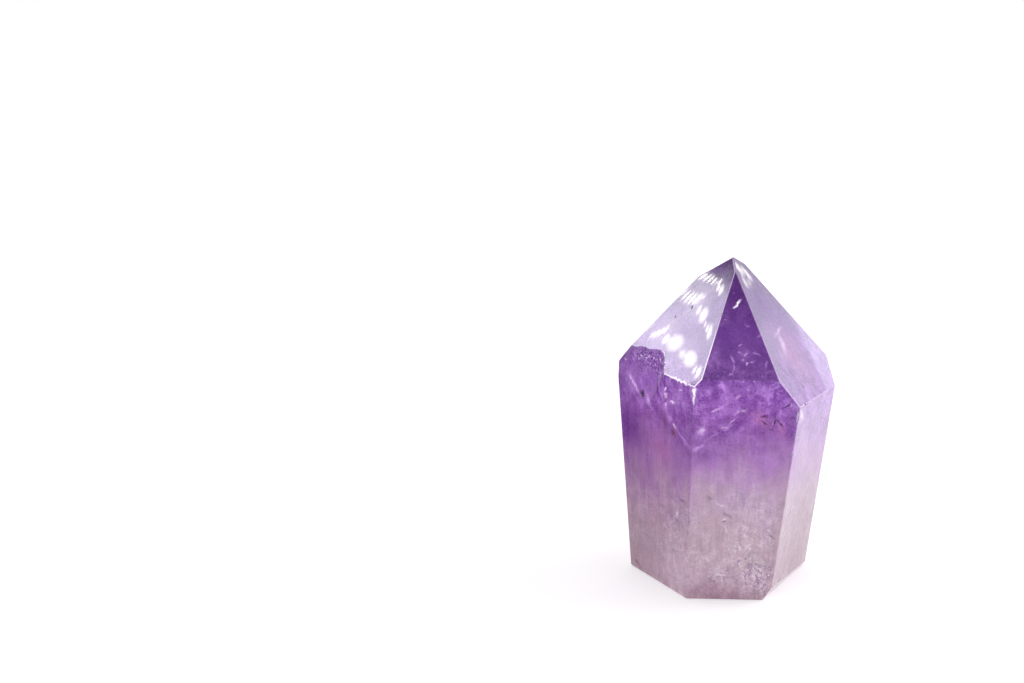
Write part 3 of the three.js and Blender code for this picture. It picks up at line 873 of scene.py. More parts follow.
    def material(self) -> bpy.types.Material:
        """Builds the stone's material in Object coordinates, so that its pattern runs through the piece."""
        material, tree = new_material("polished_amethyst")
        place = add_node(tree, "TexCoord").outputs["Object"]
        mm = add_node(tree, "Mapping", feeds={0: place, "Scale": (1 / MM,) * 3}).outputs[0]
        grain = self.draw_grain(tree, mm)
        height, level = self.find_level(tree, mm, grain)
        skin = self.base_skin(tree, level)
        wear = {
            kind: add_node(tree, "Attribute", {"attribute_name": kind.value}).outputs["Fac"] for kind in Wear
        }
        clouds, fog, grit = grain[Grain.CLOUDS], grain[Grain.FOG], grain[Grain.GRIT]
        shares = {
            name: add_node(
                tree, "MapRange", SMOOTH,
                {"Value": value, "From Min": start, "From Max": end, "To Min": least, "To Max": most},
            ).outputs[0]
            for name, value, start, end, least, most in (
                ("gem", level, 28.0, 42.0, 0.0, 1.0),
                ("milk", level, 30.0, 18.0, 0.0, 1.0),
                ("calm", height, 52.0, 46.0, 0.4, 1.0),
                ("low", height, 60.0, 50.0, 0.5, 1.0),
                ("patches", clouds, 0.4, 0.6, 0.0, 0.6),
                ("shadows", clouds, 0.53, 0.38, 0.0, 0.3),
                ("banks", fog, 0.48, 0.63, 0.0, 0.45),
                ("gaps", fog, 0.53, 0.32, 0.0, 0.48),
                # The pits and rims serve the gem quartz's grain, and also the hollow's painted pit shade and
                # rim highlights; the specks and cells place the hollow's painted glints.
                ("pits", grit, 0.47, 0.36, 0.0, 1.0),
                ("rims", grit, 0.54, 0.66, 0.0, 1.0),
                ("speck_glints", grit, 0.64, 0.74, 0.0, 1.0),
                ("cell_glints", grit, 0.58, 0.66, 0.0, 1.0),
                ("broken", grit, 0.36, 0.54, 0.55, 1.0),
            )
        }
        self.lay_quartz(skin, mm, shares, wear[Wear.FRONT_TIP_SHADE])
        rough, frosted, chipped = wear[Wear.ROUGH], wear[Wear.FROSTED], wear[Wear.CHIPPED]
        skin.lay(self.rough_skin, rough, self.rough_share)
        skin.lay(self.chip, chipped)
        glint = self.lay_marks(skin, mm, shares["broken"])
        self.vary(skin, grain)
        # Painted highlight along the rolled edges, less towards the tip.
        edge_highlight = add_node(
            tree, "Math", {"operation": "MULTIPLY"}, {0: wear[Wear.EDGE_HIGHLIGHT], 1: shares["low"]}
        ).outputs[0]
        skin.lay(self.painted_edge_highlight, edge_highlight)
        # Painted shade in the pits and painted highlights on the rims, specks and cells of the hollow.
        skin.lay(self.pit_shade, shares["pits"], frosted)
        skin.lay(self.pit_rim_highlight, shares["rims"], frosted)
        skin.lay(self.speck_glint, shares["speck_glints"], rough, self.speck_glint_share)
        skin.lay(self.cell_glint, shares["cell_glints"], frosted, frosted, self.cell_glint_share)
        coat = 1.0
        for dull, loss in ((rough, self.rough_dulls), (chipped, self.chip_dulls)):
            coat = add_node(
                tree, "Math", {"operation": "MULTIPLY_ADD", "use_clamp": True}, {0: dull, 1: -loss, 2: coat}
            ).outputs[0]
        normal = self.relief(tree, grain, rough)
        lit = add_node(tree, "Math", {"operation": "MAXIMUM"}, {0: glint, 1: edge_highlight}).outputs[0]
        surface = add_node(
            tree, "BsdfPrincipled",
            feeds={
                "Base Color": skin.colour,
                "Roughness": skin.haze,
                "IOR": self.refraction,
                "Specular IOR Level": 0.0,
                "Transmission Weight": skin.clear,
                "Coat Weight": coat,
                "Coat Roughness": self.polish,
                "Coat IOR": self.refraction,
                "Normal": normal,
                "Coat Normal": normal,
                # Painted glow where the painted glints and edge highlights are.
                "Emission Color": linear(self.glow_colour),
                "Emission Strength": add_node(
                    tree, "Math", {"operation": "MULTIPLY"}, {0: lit, 1: self.glint_glow}
                ).outputs[0],
            },
        )
        volume = add_node(
            tree, "VolumeAbsorption",
            feeds={"Color": linear(self.absorb_colour), "Density": self.absorb_per_metre},
        )
        add_node(tree, "OutputMaterial", feeds={"Surface": surface.outputs[0], "Volume": volume.outputs[0]})
        return material


@dataclass(frozen=True)
class Chip:
    """One small chip knocked out of the polish."""

    face: Face
    at: Pixel
    """Where it shows."""
    long_mm: float
    wide_mm: float
    deep_mm: float
    slant: float = 0.0
    """How its length leans in the photograph, in degrees from level, rising to the right."""


@dataclass
class Stone:
    """The stone itself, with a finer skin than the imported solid."""

    weld: float = 0.002 * MM
    level_within: float = math.radians(0.4)
    apart: float = math.radians(1.6)
    """The least angle between two ground faces."""
    smooth_below: float = math.radians(24)
    ground_area: float = 8 * MM * MM
    ground_within: float = 0.11 * MM
    """How deep the rolled edges lie beneath the ground faces."""
    foot_within: float = 0.33 * MM
    """How deep they lie around the foot."""
    foot_roll: float = 0.8 * MM
    rolled_from: float = math.cos(math.radians(3))
    # Which faces' rolled edges take a painted highlight, how strongly, and how near the face they lie.
    highlit_edge_faces: tuple[tuple[Face, float], ...] = ((Face.LEFT_TIP, 0.9), (Face.RIGHT_TIP, 0.35))
    highlit_edge_within: float = 0.12 * MM
    hollow_pixel: Pixel = (646.0, 366.0)
    hollow_reach: float = 12.5 * MM
    full_depth: float = 0.25 * MM
    wall_pixels: tuple[Pixel, ...] = ((642.0, 351.0), (654.0, 353.0), (659.0, 362.0), (657.0, 376.0))
    wall_reach: float = 3.2 * MM
    wall_end: float = 1.5
    """Where the frost of the wall ends, in reaches from the wall; one reach before, it is full."""
    pit_depth: float = 0.3 * MM
    pit_width: float = 0.5 * MM
    pit_contrast: float = 1.2
    pit_level: float = 0.6
    """Which grey of the pits' pattern leaves the skin where it is."""
    calm: float = 0.25
    """The pits' share of their depth away from the wall."""
    chips: tuple[Chip, ...] = (
        Chip(Face.FRONT_TIP, (737.2, 304.2), 2.9, 0.42, 0.12, 50),
        Chip(Face.FRONT_TIP, (724.2, 277.2), 0.5, 0.4, 0.1),
        Chip(Face.FRONT_TIP, (734.0, 293.2), 0.45, 0.35, 0.1),
        Chip(Face.LEFT_TIP, (691.8, 307.4), 1.2, 0.5, 0.14, 80),
        Chip(Face.LEFT_TIP, (675.4, 317.0), 0.7, 0.35, 0.1, 100),
        Chip(Face.LEFT_TIP, (681.8, 368.2), 0.5, 0.4, 0.1),
        Chip(Face.RIGHT_TIP, (803.2, 387.2), 0.8, 0.35, 0.12, 110),
        Chip(Face.RIGHT_TIP, (794.5, 386.5), 0.5, 0.3, 0.1, 80),
        Chip(Face.FRONT_SIDE, (781.5, 580.0), 0.6, 0.5, 0.14),
    )
    uneven: tuple[float, float] = (0.86, 1.1)
    """How far the skin of a lump that knocks out a chip varies."""
    bite_height: float = 1.6
    """The half height of the lump of a placed chip, in depths of the chip."""
    bite_lift: float = 0.6
    """How far it stands off the face, in depths of the chip."""
    edge_chips: int = 40
    edge_chip_mm: tuple[float, float] = (0.12, 0.34)
    edge_chip_share: tuple[float, float] = (0.6, 1.0)
    edge_chip_shape: tuple[float, float, float] = (1.0, 0.7, 0.6)
    edge_chip_lift: tuple[float, float] = (0.25, 0.5)
    """How far its lump stands off the edge, in sizes of the chip."""
    edge_span: tuple[float, float] = (0.02, 0.98)
    chipped_edge: float = 5 * MM
    """The least length of an edge that gets chips."""
    chip_gap: float = 0.6 * MM
    chip_gap_sizes: float = 2.2
    """How far chips stay apart, in sizes of the chip, on top of the gap."""
    seed: int = 11

    def copy_solid(self) -> bpy.types.Object:
        """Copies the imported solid's mesh into a new piece and merges its loose triangles."""
        packed = bpy.data.objects[STONE]
        piece = link_mesh("polished_amethyst_point", packed.data.copy())
        piece.data.transform(packed.matrix_world)
        piece.data.materials.clear()
        select_only(piece)
        bpy.ops.object.mode_set(mode="EDIT")
        bpy.ops.mesh.select_all(action="SELECT")
        bpy.ops.mesh.remove_doubles(threshold=self.weld)
        bpy.ops.object.mode_set(mode="OBJECT")
        return piece

    def ground_planes(self, piece: bpy.types.Object) -> list[tuple[Vector, float]]:
        """Finds the planes of the ground faces.

        Args:
            piece: the stone.

        Returns:
            The normal and the reach of each plane.
        """
        planes: list[tuple[Vector, float]] = []
        for polygon in sorted(piece.data.polygons, key=lambda p: -p.area):
            if polygon.area < self.ground_area:
                break
            if all(polygon.normal.dot(normal) < math.cos(self.apart) for normal, reach in planes):
                planes.append((polygon.normal.copy(), polygon.normal.dot(polygon.center)))
        return planes

    def sunk(self, point: Vector, planes: Sequence[tuple[Vector, float]]) -> float:
        """Says how much deeper a point of the skin lies than the ground faces and their rolled edges."""
        depth = min(reach - normal.dot(point) for normal, reach in planes)
        return max(0.0, depth - (self.ground_within if point.z > self.foot_roll else self.foot_within))

    def find_wall(self) -> list[Vector]:
        """Finds the line along the hollow's wall, under the left tip face."""
        facet = find_facet(Face.LEFT_TIP)
        return [facet.seen_at(pixel) for pixel in self.wall_pixels]

    def pitted(self, point: Vector, wall: Sequence[Vector]) -> float:
        """Says how pitted the hollow is at a point: most along its wall."""
        away = []
        for start, end in zip(wall, wall[1:]):
            share = max(0.0, min(1.0, intersect_point_line(point, start, end)[1]))
            away.append((point - start.lerp(end, share)).length)
        return max(0.0, min(1.0, self.wall_end - min(away) / self.wall_reach))

    def refine_hollow(self, piece: bpy.types.Object) -> None:
        """Joins the flat triangles of the ground faces, and gives the hollow's skin a finer net with pits."""
        planes = self.ground_planes(piece)
        centre = find_facet(Face.LEFT_TIP).seen_at(self.hollow_pixel)
        for polygon in piece.data.polygons:
            polygon.select = self.sunk(polygon.center, planes) == 0
        select_only(piece)
        bpy.ops.object.mode_set(mode="EDIT")
        bpy.ops.mesh.select_mode(type="FACE")
        bpy.ops.mesh.dissolve_limited(angle_limit=self.level_within, use_dissolve_boundaries=False)
        bpy.ops.object.mode_set(mode="OBJECT")
        for polygon in piece.data.polygons:
            near = (polygon.center - centre).length < self.hollow_reach
            polygon.select = near and self.sunk(polygon.center, planes) > 0
        bpy.ops.object.mode_set(mode="EDIT")
        bpy.ops.mesh.subdivide(number_cuts=1)
        bpy.ops.object.mode_set(mode="OBJECT")
        group = piece.vertex_groups.new(name="hollow")
        wall = self.find_wall()
        for vertex in piece.data.vertices:
            depth = self.sunk(vertex.co, planes)
            if (vertex.co - centre).length < self.hollow_reach and depth > 0:
                share = self.calm + (1 - self.calm) * self.pitted(vertex.co, wall)
                group.add([vertex.index], min(1.0, depth / self.full_depth) * share, "REPLACE")
        pits = bpy.data.textures.new("pits", "VORONOI")
        pits.noise_scale = self.pit_width
        pits.noise_intensity = self.pit_contrast
        press = piece.modifiers.new("press_pits", "DISPLACE")
        press.texture = pits
        press.texture_coords = "LOCAL"
        press.vertex_group = group.name
        press.strength = self.pit_depth
        press.mid_level = self.pit_level
        select_only(piece)
        bpy.ops.object.modifier_apply(modifier=press.name)

    def lump(self, size: tuple[float, float, float], place: Matrix, rng: random.Random) -> bpy.types.Object:
        """Makes one rough lump that knocks out a chip.

        Args:
            size: its half length, half width and half height, in metres.
            place: where it stands and how it is turned.
            rng: the random numbers of the chips.

        Returns:
            The lump.
        """
        select_nothing()
        bpy.ops.mesh.primitive_ico_sphere_add(subdivisions=2, radius=1.0)
        lump = bpy.context.object
        for vertex in lump.data.vertices:
            vertex.co *= rng.uniform(*self.uneven)
        lump.data.transform(place @ Matrix.Diagonal((*size, 1.0)))
        return lump

    def face_lump(self, chip: Chip, rng: random.Random) -> bpy.types.Object:
        """Makes the lump of one placed chip."""
        facet = find_facet(chip.face)
        lean = math.radians(chip.slant)
        here = facet.seen_at(chip.at)
        ahead = facet.seen_at((chip.at[0] + math.cos(lean), chip.at[1] - math.sin(lean)))
        along = (ahead - here).normalized()
        turn = Matrix((along, facet.normal.cross(along), facet.normal)).transposed().to_4x4()
        size = (chip.long_mm / 2 * MM, chip.wide_mm / 2 * MM, chip.deep_mm * self.bite_height * MM)
        place = Matrix.Translation(here + facet.normal * chip.deep_mm * self.bite_lift * MM) @ turn
        return self.lump(size, place, rng)

    def edge_lumps(self, mesh: bpy.types.Mesh, rng: random.Random) -> list[bpy.types.Object]:
        """Makes the lumps of the small chips along the stone's long edges, none close to another.

        Args:
            mesh: the stone's mesh.
            rng: the random numbers of the chips.

        Returns:
            The lumps.
        """
        points = mesh.vertices
        ends = [tuple(edge.vertices) for edge in mesh.edges]
        edges = [(a, b) for a, b in ends if (points[a].co - points[b].co).length > self.chipped_edge]
        taken: list[Vector] = []
        lumps = []
        while len(taken) < self.edge_chips:
            start, end = (points[i] for i in rng.choice(edges))
            spot = start.co.lerp(end.co, rng.uniform(*self.edge_span))
            size = rng.uniform(*self.edge_chip_mm) * MM * rng.uniform(*self.edge_chip_share)
            apart = self.chip_gap_sizes * size + self.chip_gap
            if any((spot - other).length < apart for other in taken):
                continue
            taken.append(spot)
            outward = (start.normal + end.normal).normalized()
            way = Vector((rng.gauss(0, 1), rng.gauss(0, 1), rng.gauss(0, 1)))
            turn = way.to_track_quat("Z", "Y").to_matrix().to_4x4()
            place = Matrix.Translation(spot + outward * size * rng.uniform(*self.edge_chip_lift)) @ turn
            lumps.append(self.lump(tuple(size * share for share in self.edge_chip_shape), place, rng))
        return lumps

    def knock_chips(self, piece: bpy.types.Object) -> None:
        """Knocks the placed chips out of the faces, and small ones along the edges."""
        rng = random.Random(self.seed)
        lumps = [self.face_lump(chip, rng) for chip in self.chips]
        lumps += self.edge_lumps(piece.data, rng)
        select_only(lumps[0])
        for lump in lumps:
            lump.select_set(True)
        bpy.ops.object.join()
        cutter = bpy.context.object
        cutter.data.materials.clear()
        cutter.data.materials.append(bpy.data.materials.new("fresh_chip"))
        piece.data.materials.clear()
        piece.data.materials.append(bpy.data.materials.new("skin"))
        cut = piece.modifiers.new("knock_chips", "BOOLEAN")
        cut.operation = "DIFFERENCE"
        cut.solver = "EXACT"
        cut.material_mode = "TRANSFER"
        cut.object = cutter
        select_only(piece)
        bpy.ops.object.modifier_apply(modifier=cut.name)
        bpy.data.objects.remove(cutter, do_unlink=True)

    def mark_skin(self, piece: bpy.types.Object) -> None:
        """Marks the faces of the rough hollow, the chips, the face for painted shade and the rolled edges for
        painted highlight, for the material.
        """
        planes = self.ground_planes(piece)
        facets = {face: find_facet(face) for face in Face}
        centre = facets[Face.LEFT_TIP].seen_at(self.hollow_pixel)
        wall = self.find_wall()
        for wear in Wear:
            piece.data.attributes.new(wear.value, "FLOAT", "FACE")
        marked = {wear: piece.data.attributes[wear.value].data for wear in Wear}
        for polygon in piece.data.polygons:
            here, middle = polygon.index, polygon.center
            cut = polygon.material_index == 1
            sunk = self.sunk(middle, planes)
            in_hollow = (middle - centre).length < self.hollow_reach
            rough = min(1.0, sunk / self.full_depth) if in_hollow and not cut else 0.0
            marked[Wear.ROUGH][here].value = rough
            marked[Wear.CHIPPED][here].value = float(cut or (sunk > 0 and not in_hollow))
            marked[Wear.FROSTED][here].value = rough * self.pitted(middle, wall) if rough else 0.0
            # Painted shade: faces turned like the front tip face are marked for darkening.
            dark = polygon.normal.dot(facets[Face.FRONT_TIP].normal) > self.rolled_from
            marked[Wear.FRONT_TIP_SHADE][here].value = float(dark)
            # Rolled edges near the tip faces take the painted highlight.
            rolled = sunk == 0 and all(
                polygon.normal.dot(normal) < self.rolled_from for normal, reach in planes
            )
            rolled = rolled and not cut and self.pitted(middle, wall) < 1 and middle.x > centre.x
            away = {face: facet.normal.dot(facet.point - middle) for face, facet in facets.items()}
            marked[Wear.EDGE_HIGHLIGHT][here].value = max(
                (share for face, share in self.highlit_edge_faces if rolled and away[face] < self.highlit_edge_within),
                default=0.0,
            )
        piece.data.materials.clear()
        piece.data.materials.append(Amethyst().material())

    def shade(self, piece: bpy.types.Object) -> None:
        """Shades the rolled edges smoothly and keeps the facets flat."""
        select_only(piece)
        bpy.ops.object.shade_smooth_by_angle(angle=self.smooth_below, keep_sharp_edges=False)
        weigh = piece.modifiers.new("weigh_normals", "WEIGHTED_NORMAL")
        weigh.mode = "FACE_AREA"
        weigh.weight = 100
        weigh.keep_sharp = True
        bpy.ops.object.modifier_apply(modifier=weigh.name)

    def build(self) -> bpy.types.Object:
        """Builds and dresses the stone.

        Returns:
            The finished piece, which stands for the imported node.
        """
        piece = self.copy_solid()
        self.refine_hollow(piece)
        self.knock_chips(piece)
        self.mark_skin(piece)
        self.shade(piece)
        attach(piece, BODY)
        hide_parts(STONE)
        return piece


@dataclass
class Curls:
    """Small curled cracks in the gem quartz."""

    count: int = 120
    radius_mm: tuple[float, float] = (0.2, 0.6)
    sweep: tuple[float, float] = (math.radians(50), math.radians(190))
    width_mm: tuple[float, float] = (0.12, 0.26)
    uneven: tuple[float, float] = (0.7, 1.2)
    depth: tuple[float, float] = (0.5 * MM, 5 * MM)
    gem_from: float = 29 * MM
    steps: int = 10
    ends: tuple[float, float] = (0.03, 0.97)
    """Where along the arc the band stops narrowing."""
    seed: int = 5
    colour: str = "#f6ecff"
    haze: float = 0.4
    # Painted glow: the cracks give off a faint light.
    glow_colour: str = "#dcb4ff"
    glow: float = 0.15

    def material(self) -> bpy.types.Material:
        """Builds the look of a healed crack: a thin film of fluid, pale, with a painted glow for the light it
        throws back.
        """
        material, tree = new_material("pale_crack")
        surface = add_node(
            tree, "BsdfPrincipled",
            feeds={"Base Color": linear(self.colour), "Roughness": self.haze,
                   "Emission Color": linear(self.glow_colour), "Emission Strength": self.glow},
        )
        add_node(tree, "OutputMaterial", feeds={"Surface": surface.outputs[0]})
        return material

    def add_curl(self, shape: bmesh.types.BMesh, spot: Vector, rng: random.Random) -> None:
        """Adds one curl, a band along an arc that narrows to its ends.

        Args:
            shape: the mesh of all curls.
            spot: the middle of its arc.
            rng: the random numbers of the curls.
        """
        way = Vector((rng.gauss(0, 1), rng.gauss(0, 1), rng.gauss(0, 1)))
        turn = way.to_track_quat("Z", "Y").to_matrix()
        radius, width = rng.uniform(*self.radius_mm) * MM, rng.uniform(*self.width_mm) * MM
        sweep = rng.uniform(*self.sweep)
        rims = []
        for step in range(self.steps + 1):
            share = step / self.steps
            angle = sweep * (share - 0.5)
            swell = math.sin(math.pi * min(max(share, self.ends[0]), self.ends[1]))
            half = width / 2 * swell * rng.uniform(*self.uneven)
            rim = []
            for reach in (radius - half, radius + half):
                point = Vector((reach * math.cos(angle) - radius, reach * math.sin(angle), 0))
                rim.append(shape.verts.new(spot + turn @ point))
            rims.append(rim)
        for (a, b), (c, d) in zip(rims, rims[1:]):
            shape.faces.new((a, b, d, c))

    def build(self, planes: Sequence[tuple[Vector, float]]) -> bpy.types.Object:
        """Scatters the curls beneath the ground faces.

        Args:
            planes: the ground faces.

        Returns:
            The curls as one piece.
        """
        rng = random.Random(self.seed)
        low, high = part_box(STONE)
        shape = bmesh.new()
        made = 0
        while made < self.count:
            spot = Vector([rng.uniform(a, b) for a, b in zip(low, high)])
            depth = min(reach - normal.dot(spot) for normal, reach in planes)
            if spot.z < self.gem_from or not self.depth[0] < depth < self.depth[1]:
                continue
            self.add_curl(shape, spot, rng)
            made += 1
        mesh = bpy.data.meshes.new("curled_cracks")
        shape.to_mesh(mesh)
        shape.free()
        piece = link_mesh("curled_cracks", mesh)
        piece.data.materials.append(self.material())
        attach(piece, BODY)
        return piece


@dataclass(frozen=True)
class Glow:
    """One corner of a lit shape that a face mirrors."""

    at: Pixel
    """Where its reflection shows."""
    radiance: float
    """How bright it is there, where the floor is about 1."""


class Tint(Enum):
    """The colour of a lit shape."""

    CARD = "#f5f2ff"
    LAMP = "#fffff0"


@dataclass(frozen=True)
class Lamp:
    """One small lamp whose reflection the polish of a face shows, bright inside and fading at its rim."""

    at: Pixel
    """The middle of its reflection."""
    long: float
    """Half its reflection's length, in pixels."""
    thin: float
    """Half its reflection's width, in pixels."""
    slant: float = 55.0
    """How steeply the reflection leans to the right, in degrees."""
    radiance: float = 9.0
    core: float = 0.3
    """How large the evenly bright inside is."""

    def ring(self, share: float, radiance: float, corners: int = 12) -> list[Glow]:
        """Returns the corners of an ellipse inside the lamp's outline.

        Args:
            share: its size, where 1 is the outline.
            radiance: how bright it is.
            corners: how many corners it has.

        Returns:
            The corners in order.
        """
        lean = math.radians(self.slant)
        ring = []
        for i in range(corners):
            turn = math.tau * i / corners
            along, across = self.long * share * math.cos(turn), self.thin * share * math.sin(turn)
            right = along * math.cos(lean) + across * math.sin(lean)
            down = across * math.cos(lean) - along * math.sin(lean)
            ring.append(Glow((self.at[0] + right, self.at[1] + down), radiance))
        return ring

    def shapes(self) -> list[list[Glow]]:
        """Returns the bright inside and the strips around it that fade outwards."""
        inside, outside = self.ring(self.core, self.radiance), self.ring(1.0, 0.0)
        strips = [[inside[i - 1], outside[i - 1], outside[i], inside[i]] for i in range(len(inside))]
        return [inside, *strips]


def glow_row(*corners: tuple[float, float, float]) -> tuple[Glow, ...]:
    """Makes a row of lit corners, each from its place in the photograph's frame and its radiance."""
    return tuple(Glow((x, y), radiance) for x, y, radiance in corners)


@dataclass(frozen=True)
class Panel:
    """One soft square light."""

    name: str
    at: Vector
    """Its centre."""
    side: float
    radiance: float
    """How bright its face is, where the floor is about 1."""
    mirrored: bool = False
    """Whether the stone's polish shows it."""


@dataclass(frozen=True)
class Felt:
    """One piece of dark felt."""

    name: str
    middle: Vector
    size: tuple[float, float]
    """Its width, and its depth or height."""
    upright: bool = False
    """Whether it stands and faces the stone instead of lying on the floor."""


@dataclass
class Studio:
    """The pale floor, the soft light and the camera."""

    floor_size: float = 12.0
    floor_colour: str = "#f4f3f5"
    floor_glow: float = 0.4
    felt_colour: str = "#2a1c38"
    felt_fade: float = 40 * MM
    felts: tuple[Felt, ...] = (
        Felt("left_felt", Vector((-0.15, 0.07, 1 * MM)), (0.28, 0.34)),
        Felt("front_felt", Vector((-0.02, -0.17, 1 * MM)), (0.34, 0.24)),
        Felt("back_wall_felt", Vector((0.0, -0.75, 0.3)), (0.9, 0.7), upright=True),
    )
    room_radiance: tuple[float, float] = (1.0, 0.3)
    """How bright the room is at the height of the floor and high up."""
    room_high: float = 0.9
    """Where the room is dimmest, as the rise of the direction."""
    aim: Vector = Vector((0, 0, 35 * MM))
    panels: tuple[Panel, ...] = (
        Panel("right_panel", Vector((0.75, 0.2, 0.35)), 0.6, 3.0, mirrored=True),
        Panel("top_panel", Vector((0.0, 0.3, 1.0)), 0.8, 1.0),
        Panel("fill_panel", Vector((-0.35, -0.8, 0.5)), 0.7, 1.0),
    )
    card_distance: float = 0.6
    left_card: tuple[tuple[Glow, ...], ...] = (
        glow_row((640, 256, 0.1), (700, 258, 0.1), (733, 262, 0.1), (800, 290, 0.1)),
        glow_row((640, 252, 1.8), (700, 268, 1.8), (735, 284, 1.7), (800, 320, 1.7)),
        glow_row((560, 258, 5.6), (690, 272, 5.0), (728, 296, 4.4), (800, 390, 4.4)),
        glow_row((560, 400, 6.8), (640, 420, 6.0), (700, 440, 5.2), (760, 460, 4.8)),
    )
    """The pale card that the left tip face mirrors, in rows from the tip down."""
    tip_felt: tuple[Glow, ...] = glow_row(
        (600, 180, 0.1), (840, 180, 0.1), (800, 290, 0.1), (733, 262, 0.1), (700, 258, 0.1), (640, 256, 0.1),
    )
    """What the left tip face mirrors above the card."""
    right_card: tuple[tuple[Glow, ...], ...] = (
        glow_row((690, 230, 1.3), (700, 272, 1.3), (715, 304, 1.2), (735, 330, 1.85), (750, 440, 1.5)),
        glow_row((745, 230, 1.3), (765, 272, 1.3), (782, 304, 1.4), (804, 342, 1.7), (836, 412, 1.6)),
        glow_row((748, 230, 1.3), (768, 272, 1.3), (785, 304, 1.6), (806, 342, 2.8), (838, 412, 2.6)),
        glow_row((850, 230, 1.5), (860, 272, 1.6), (870, 304, 2.2), (880, 342, 2.8), (890, 412, 2.6)),
    )
    """The pale card that the right tip face mirrors, in columns from the left."""
    lamp_distance: float = 0.25
    left_lamps: tuple[Lamp, ...] = (
        Lamp((702.6, 276.8), 7.5, 1.6, 30),
        Lamp((704.6, 274.8), 6.5, 1.4, 32),
        Lamp((707.6, 277.4), 8.0, 1.4, 38, 14),
        Lamp((711.2, 279.0), 7.5, 1.3, 42, 14),
        Lamp((714.4, 281.0), 6.5, 1.3, 47, 14),
        Lamp((717.2, 283.4), 5.0, 1.3, 55, 14),
        Lamp((718.4, 287.4), 5.5, 1.4, 62, 12),
        Lamp((721.2, 289.8), 8.0, 2.6, 68),
        Lamp((684.0, 292.0), 9, 1.2, 43, 7),
        Lamp((685.6, 295.4), 10.5, 1.2, 45, 11),
        Lamp((688.8, 297.4), 10.5, 1.4, 47, 12),
        Lamp((692.4, 298.8), 10, 1.6, 49, 12),
        Lamp((697.4, 299.8), 11, 2.8, 50),
        Lamp((698.8, 310.2), 7.5, 2.2, 62),
        Lamp((703.4, 315.4), 11, 4.6, 64),
        Lamp((705.4, 324.0), 5, 1.3, 66, 7),
        Lamp((707.4, 328.0), 6.5, 1.4, 70, 9),
        Lamp((709.8, 332.2), 11, 2.7, 73),
        Lamp((648.0, 327.0), 13, 4.0, 42, 2.4),
        Lamp((652.2, 335.0), 6.5, 1.0, 50, 12),
        Lamp((656.4, 334.2), 7.5, 1.1, 51, 12),
        Lamp((661.0, 332.4), 8.0, 1.2, 52, 12),
        Lamp((666.2, 329.4), 7.0, 1.2, 52, 12),
        Lamp((665.8, 339.4), 7.5, 3.2, 55),
        Lamp((675.2, 343.0), 12.5, 8.6, 46),
        Lamp((682.0, 354.0), 6.5, 4.0, 65, 5),
        Lamp((690.4, 359.2), 10.5, 8.2, 70),
        Lamp((694.8, 369.8), 6.5, 1.5, 62, 12),
        Lamp((698.2, 372.4), 9.5, 2.6, 65),
        Lamp((664.0, 332.0), 30, 15, 48, 1.6, 0.1),
        Lamp((698.0, 304.0), 28, 13, 62, 1.6, 0.1),
        Lamp((686.0, 352.0), 22, 13, 62, 1.2, 0.1),
    )
    """The lamps that the left tip face mirrors; the last three are the soft glow around the rows."""
    right_lamps: tuple[Lamp, ...] = (
        Lamp((737.0, 266.0), 7.5, 1.9, -62, 3.4),
        Lamp((740.8, 270.6), 9.4, 1.8, -60, 3.4),
        Lamp((744.6, 271.8), 10, 1.9, -58, 3.4),
        Lamp((748.6, 275.8), 9.4, 1.8, -57, 3.4),
        Lamp((745.2, 282.0), 9.4, 1.7, -62, 3.0),
        Lamp((749.8, 284.6), 7.5, 1.5, -60, 3.0),
    )
    """The lamps that the right tip face mirrors."""

    def lay_floor(self) -> None:
        """Lays the floor."""
        select_nothing()
        bpy.ops.mesh.primitive_plane_add(size=self.floor_size)
        floor = bpy.context.object
        floor.name = "floor"
        # White board: its dull face comes out white, and keeps only the softest shadow
        material, tree = new_material("white_board")
        surface = add_node(
            tree, "BsdfPrincipled",
            feeds={"Base Color": linear(self.floor_colour), "Roughness": 0.6, "Specular IOR Level": 0.0,
                   "Emission Color": linear("#ffffff"), "Emission Strength": self.floor_glow},
        )
        add_node(tree, "OutputMaterial", feeds={"Surface": surface.outputs[0]})
        floor.data.materials.append(material)

    def hang_panel(self, panel: Panel) -> None:
        """Hangs one soft light, out of the camera's sight."""
        light = bpy.data.lights.new(panel.name, "AREA")
        light.shape = "RECTANGLE"
        light.size = light.size_y = panel.side
        light.energy = panel.radiance * math.pi * panel.side**2
        lamp = bpy.data.objects.new(panel.name, light)
        bpy.context.scene.collection.objects.link(lamp)
        lamp.location = panel.at
        lamp.rotation_euler = (self.aim - panel.at).to_track_quat("-Z", "Y").to_euler()
        lamp.visible_camera = False
        lamp.visible_glossy = panel.mirrored

    def show_only_mirrored(self, thing: bpy.types.Object) -> None:
        """Lets only mirror-like rays see a thing."""
        thing.visible_camera = False
        thing.visible_transmission = False
        thing.visible_shadow = False
        thing.visible_diffuse = False

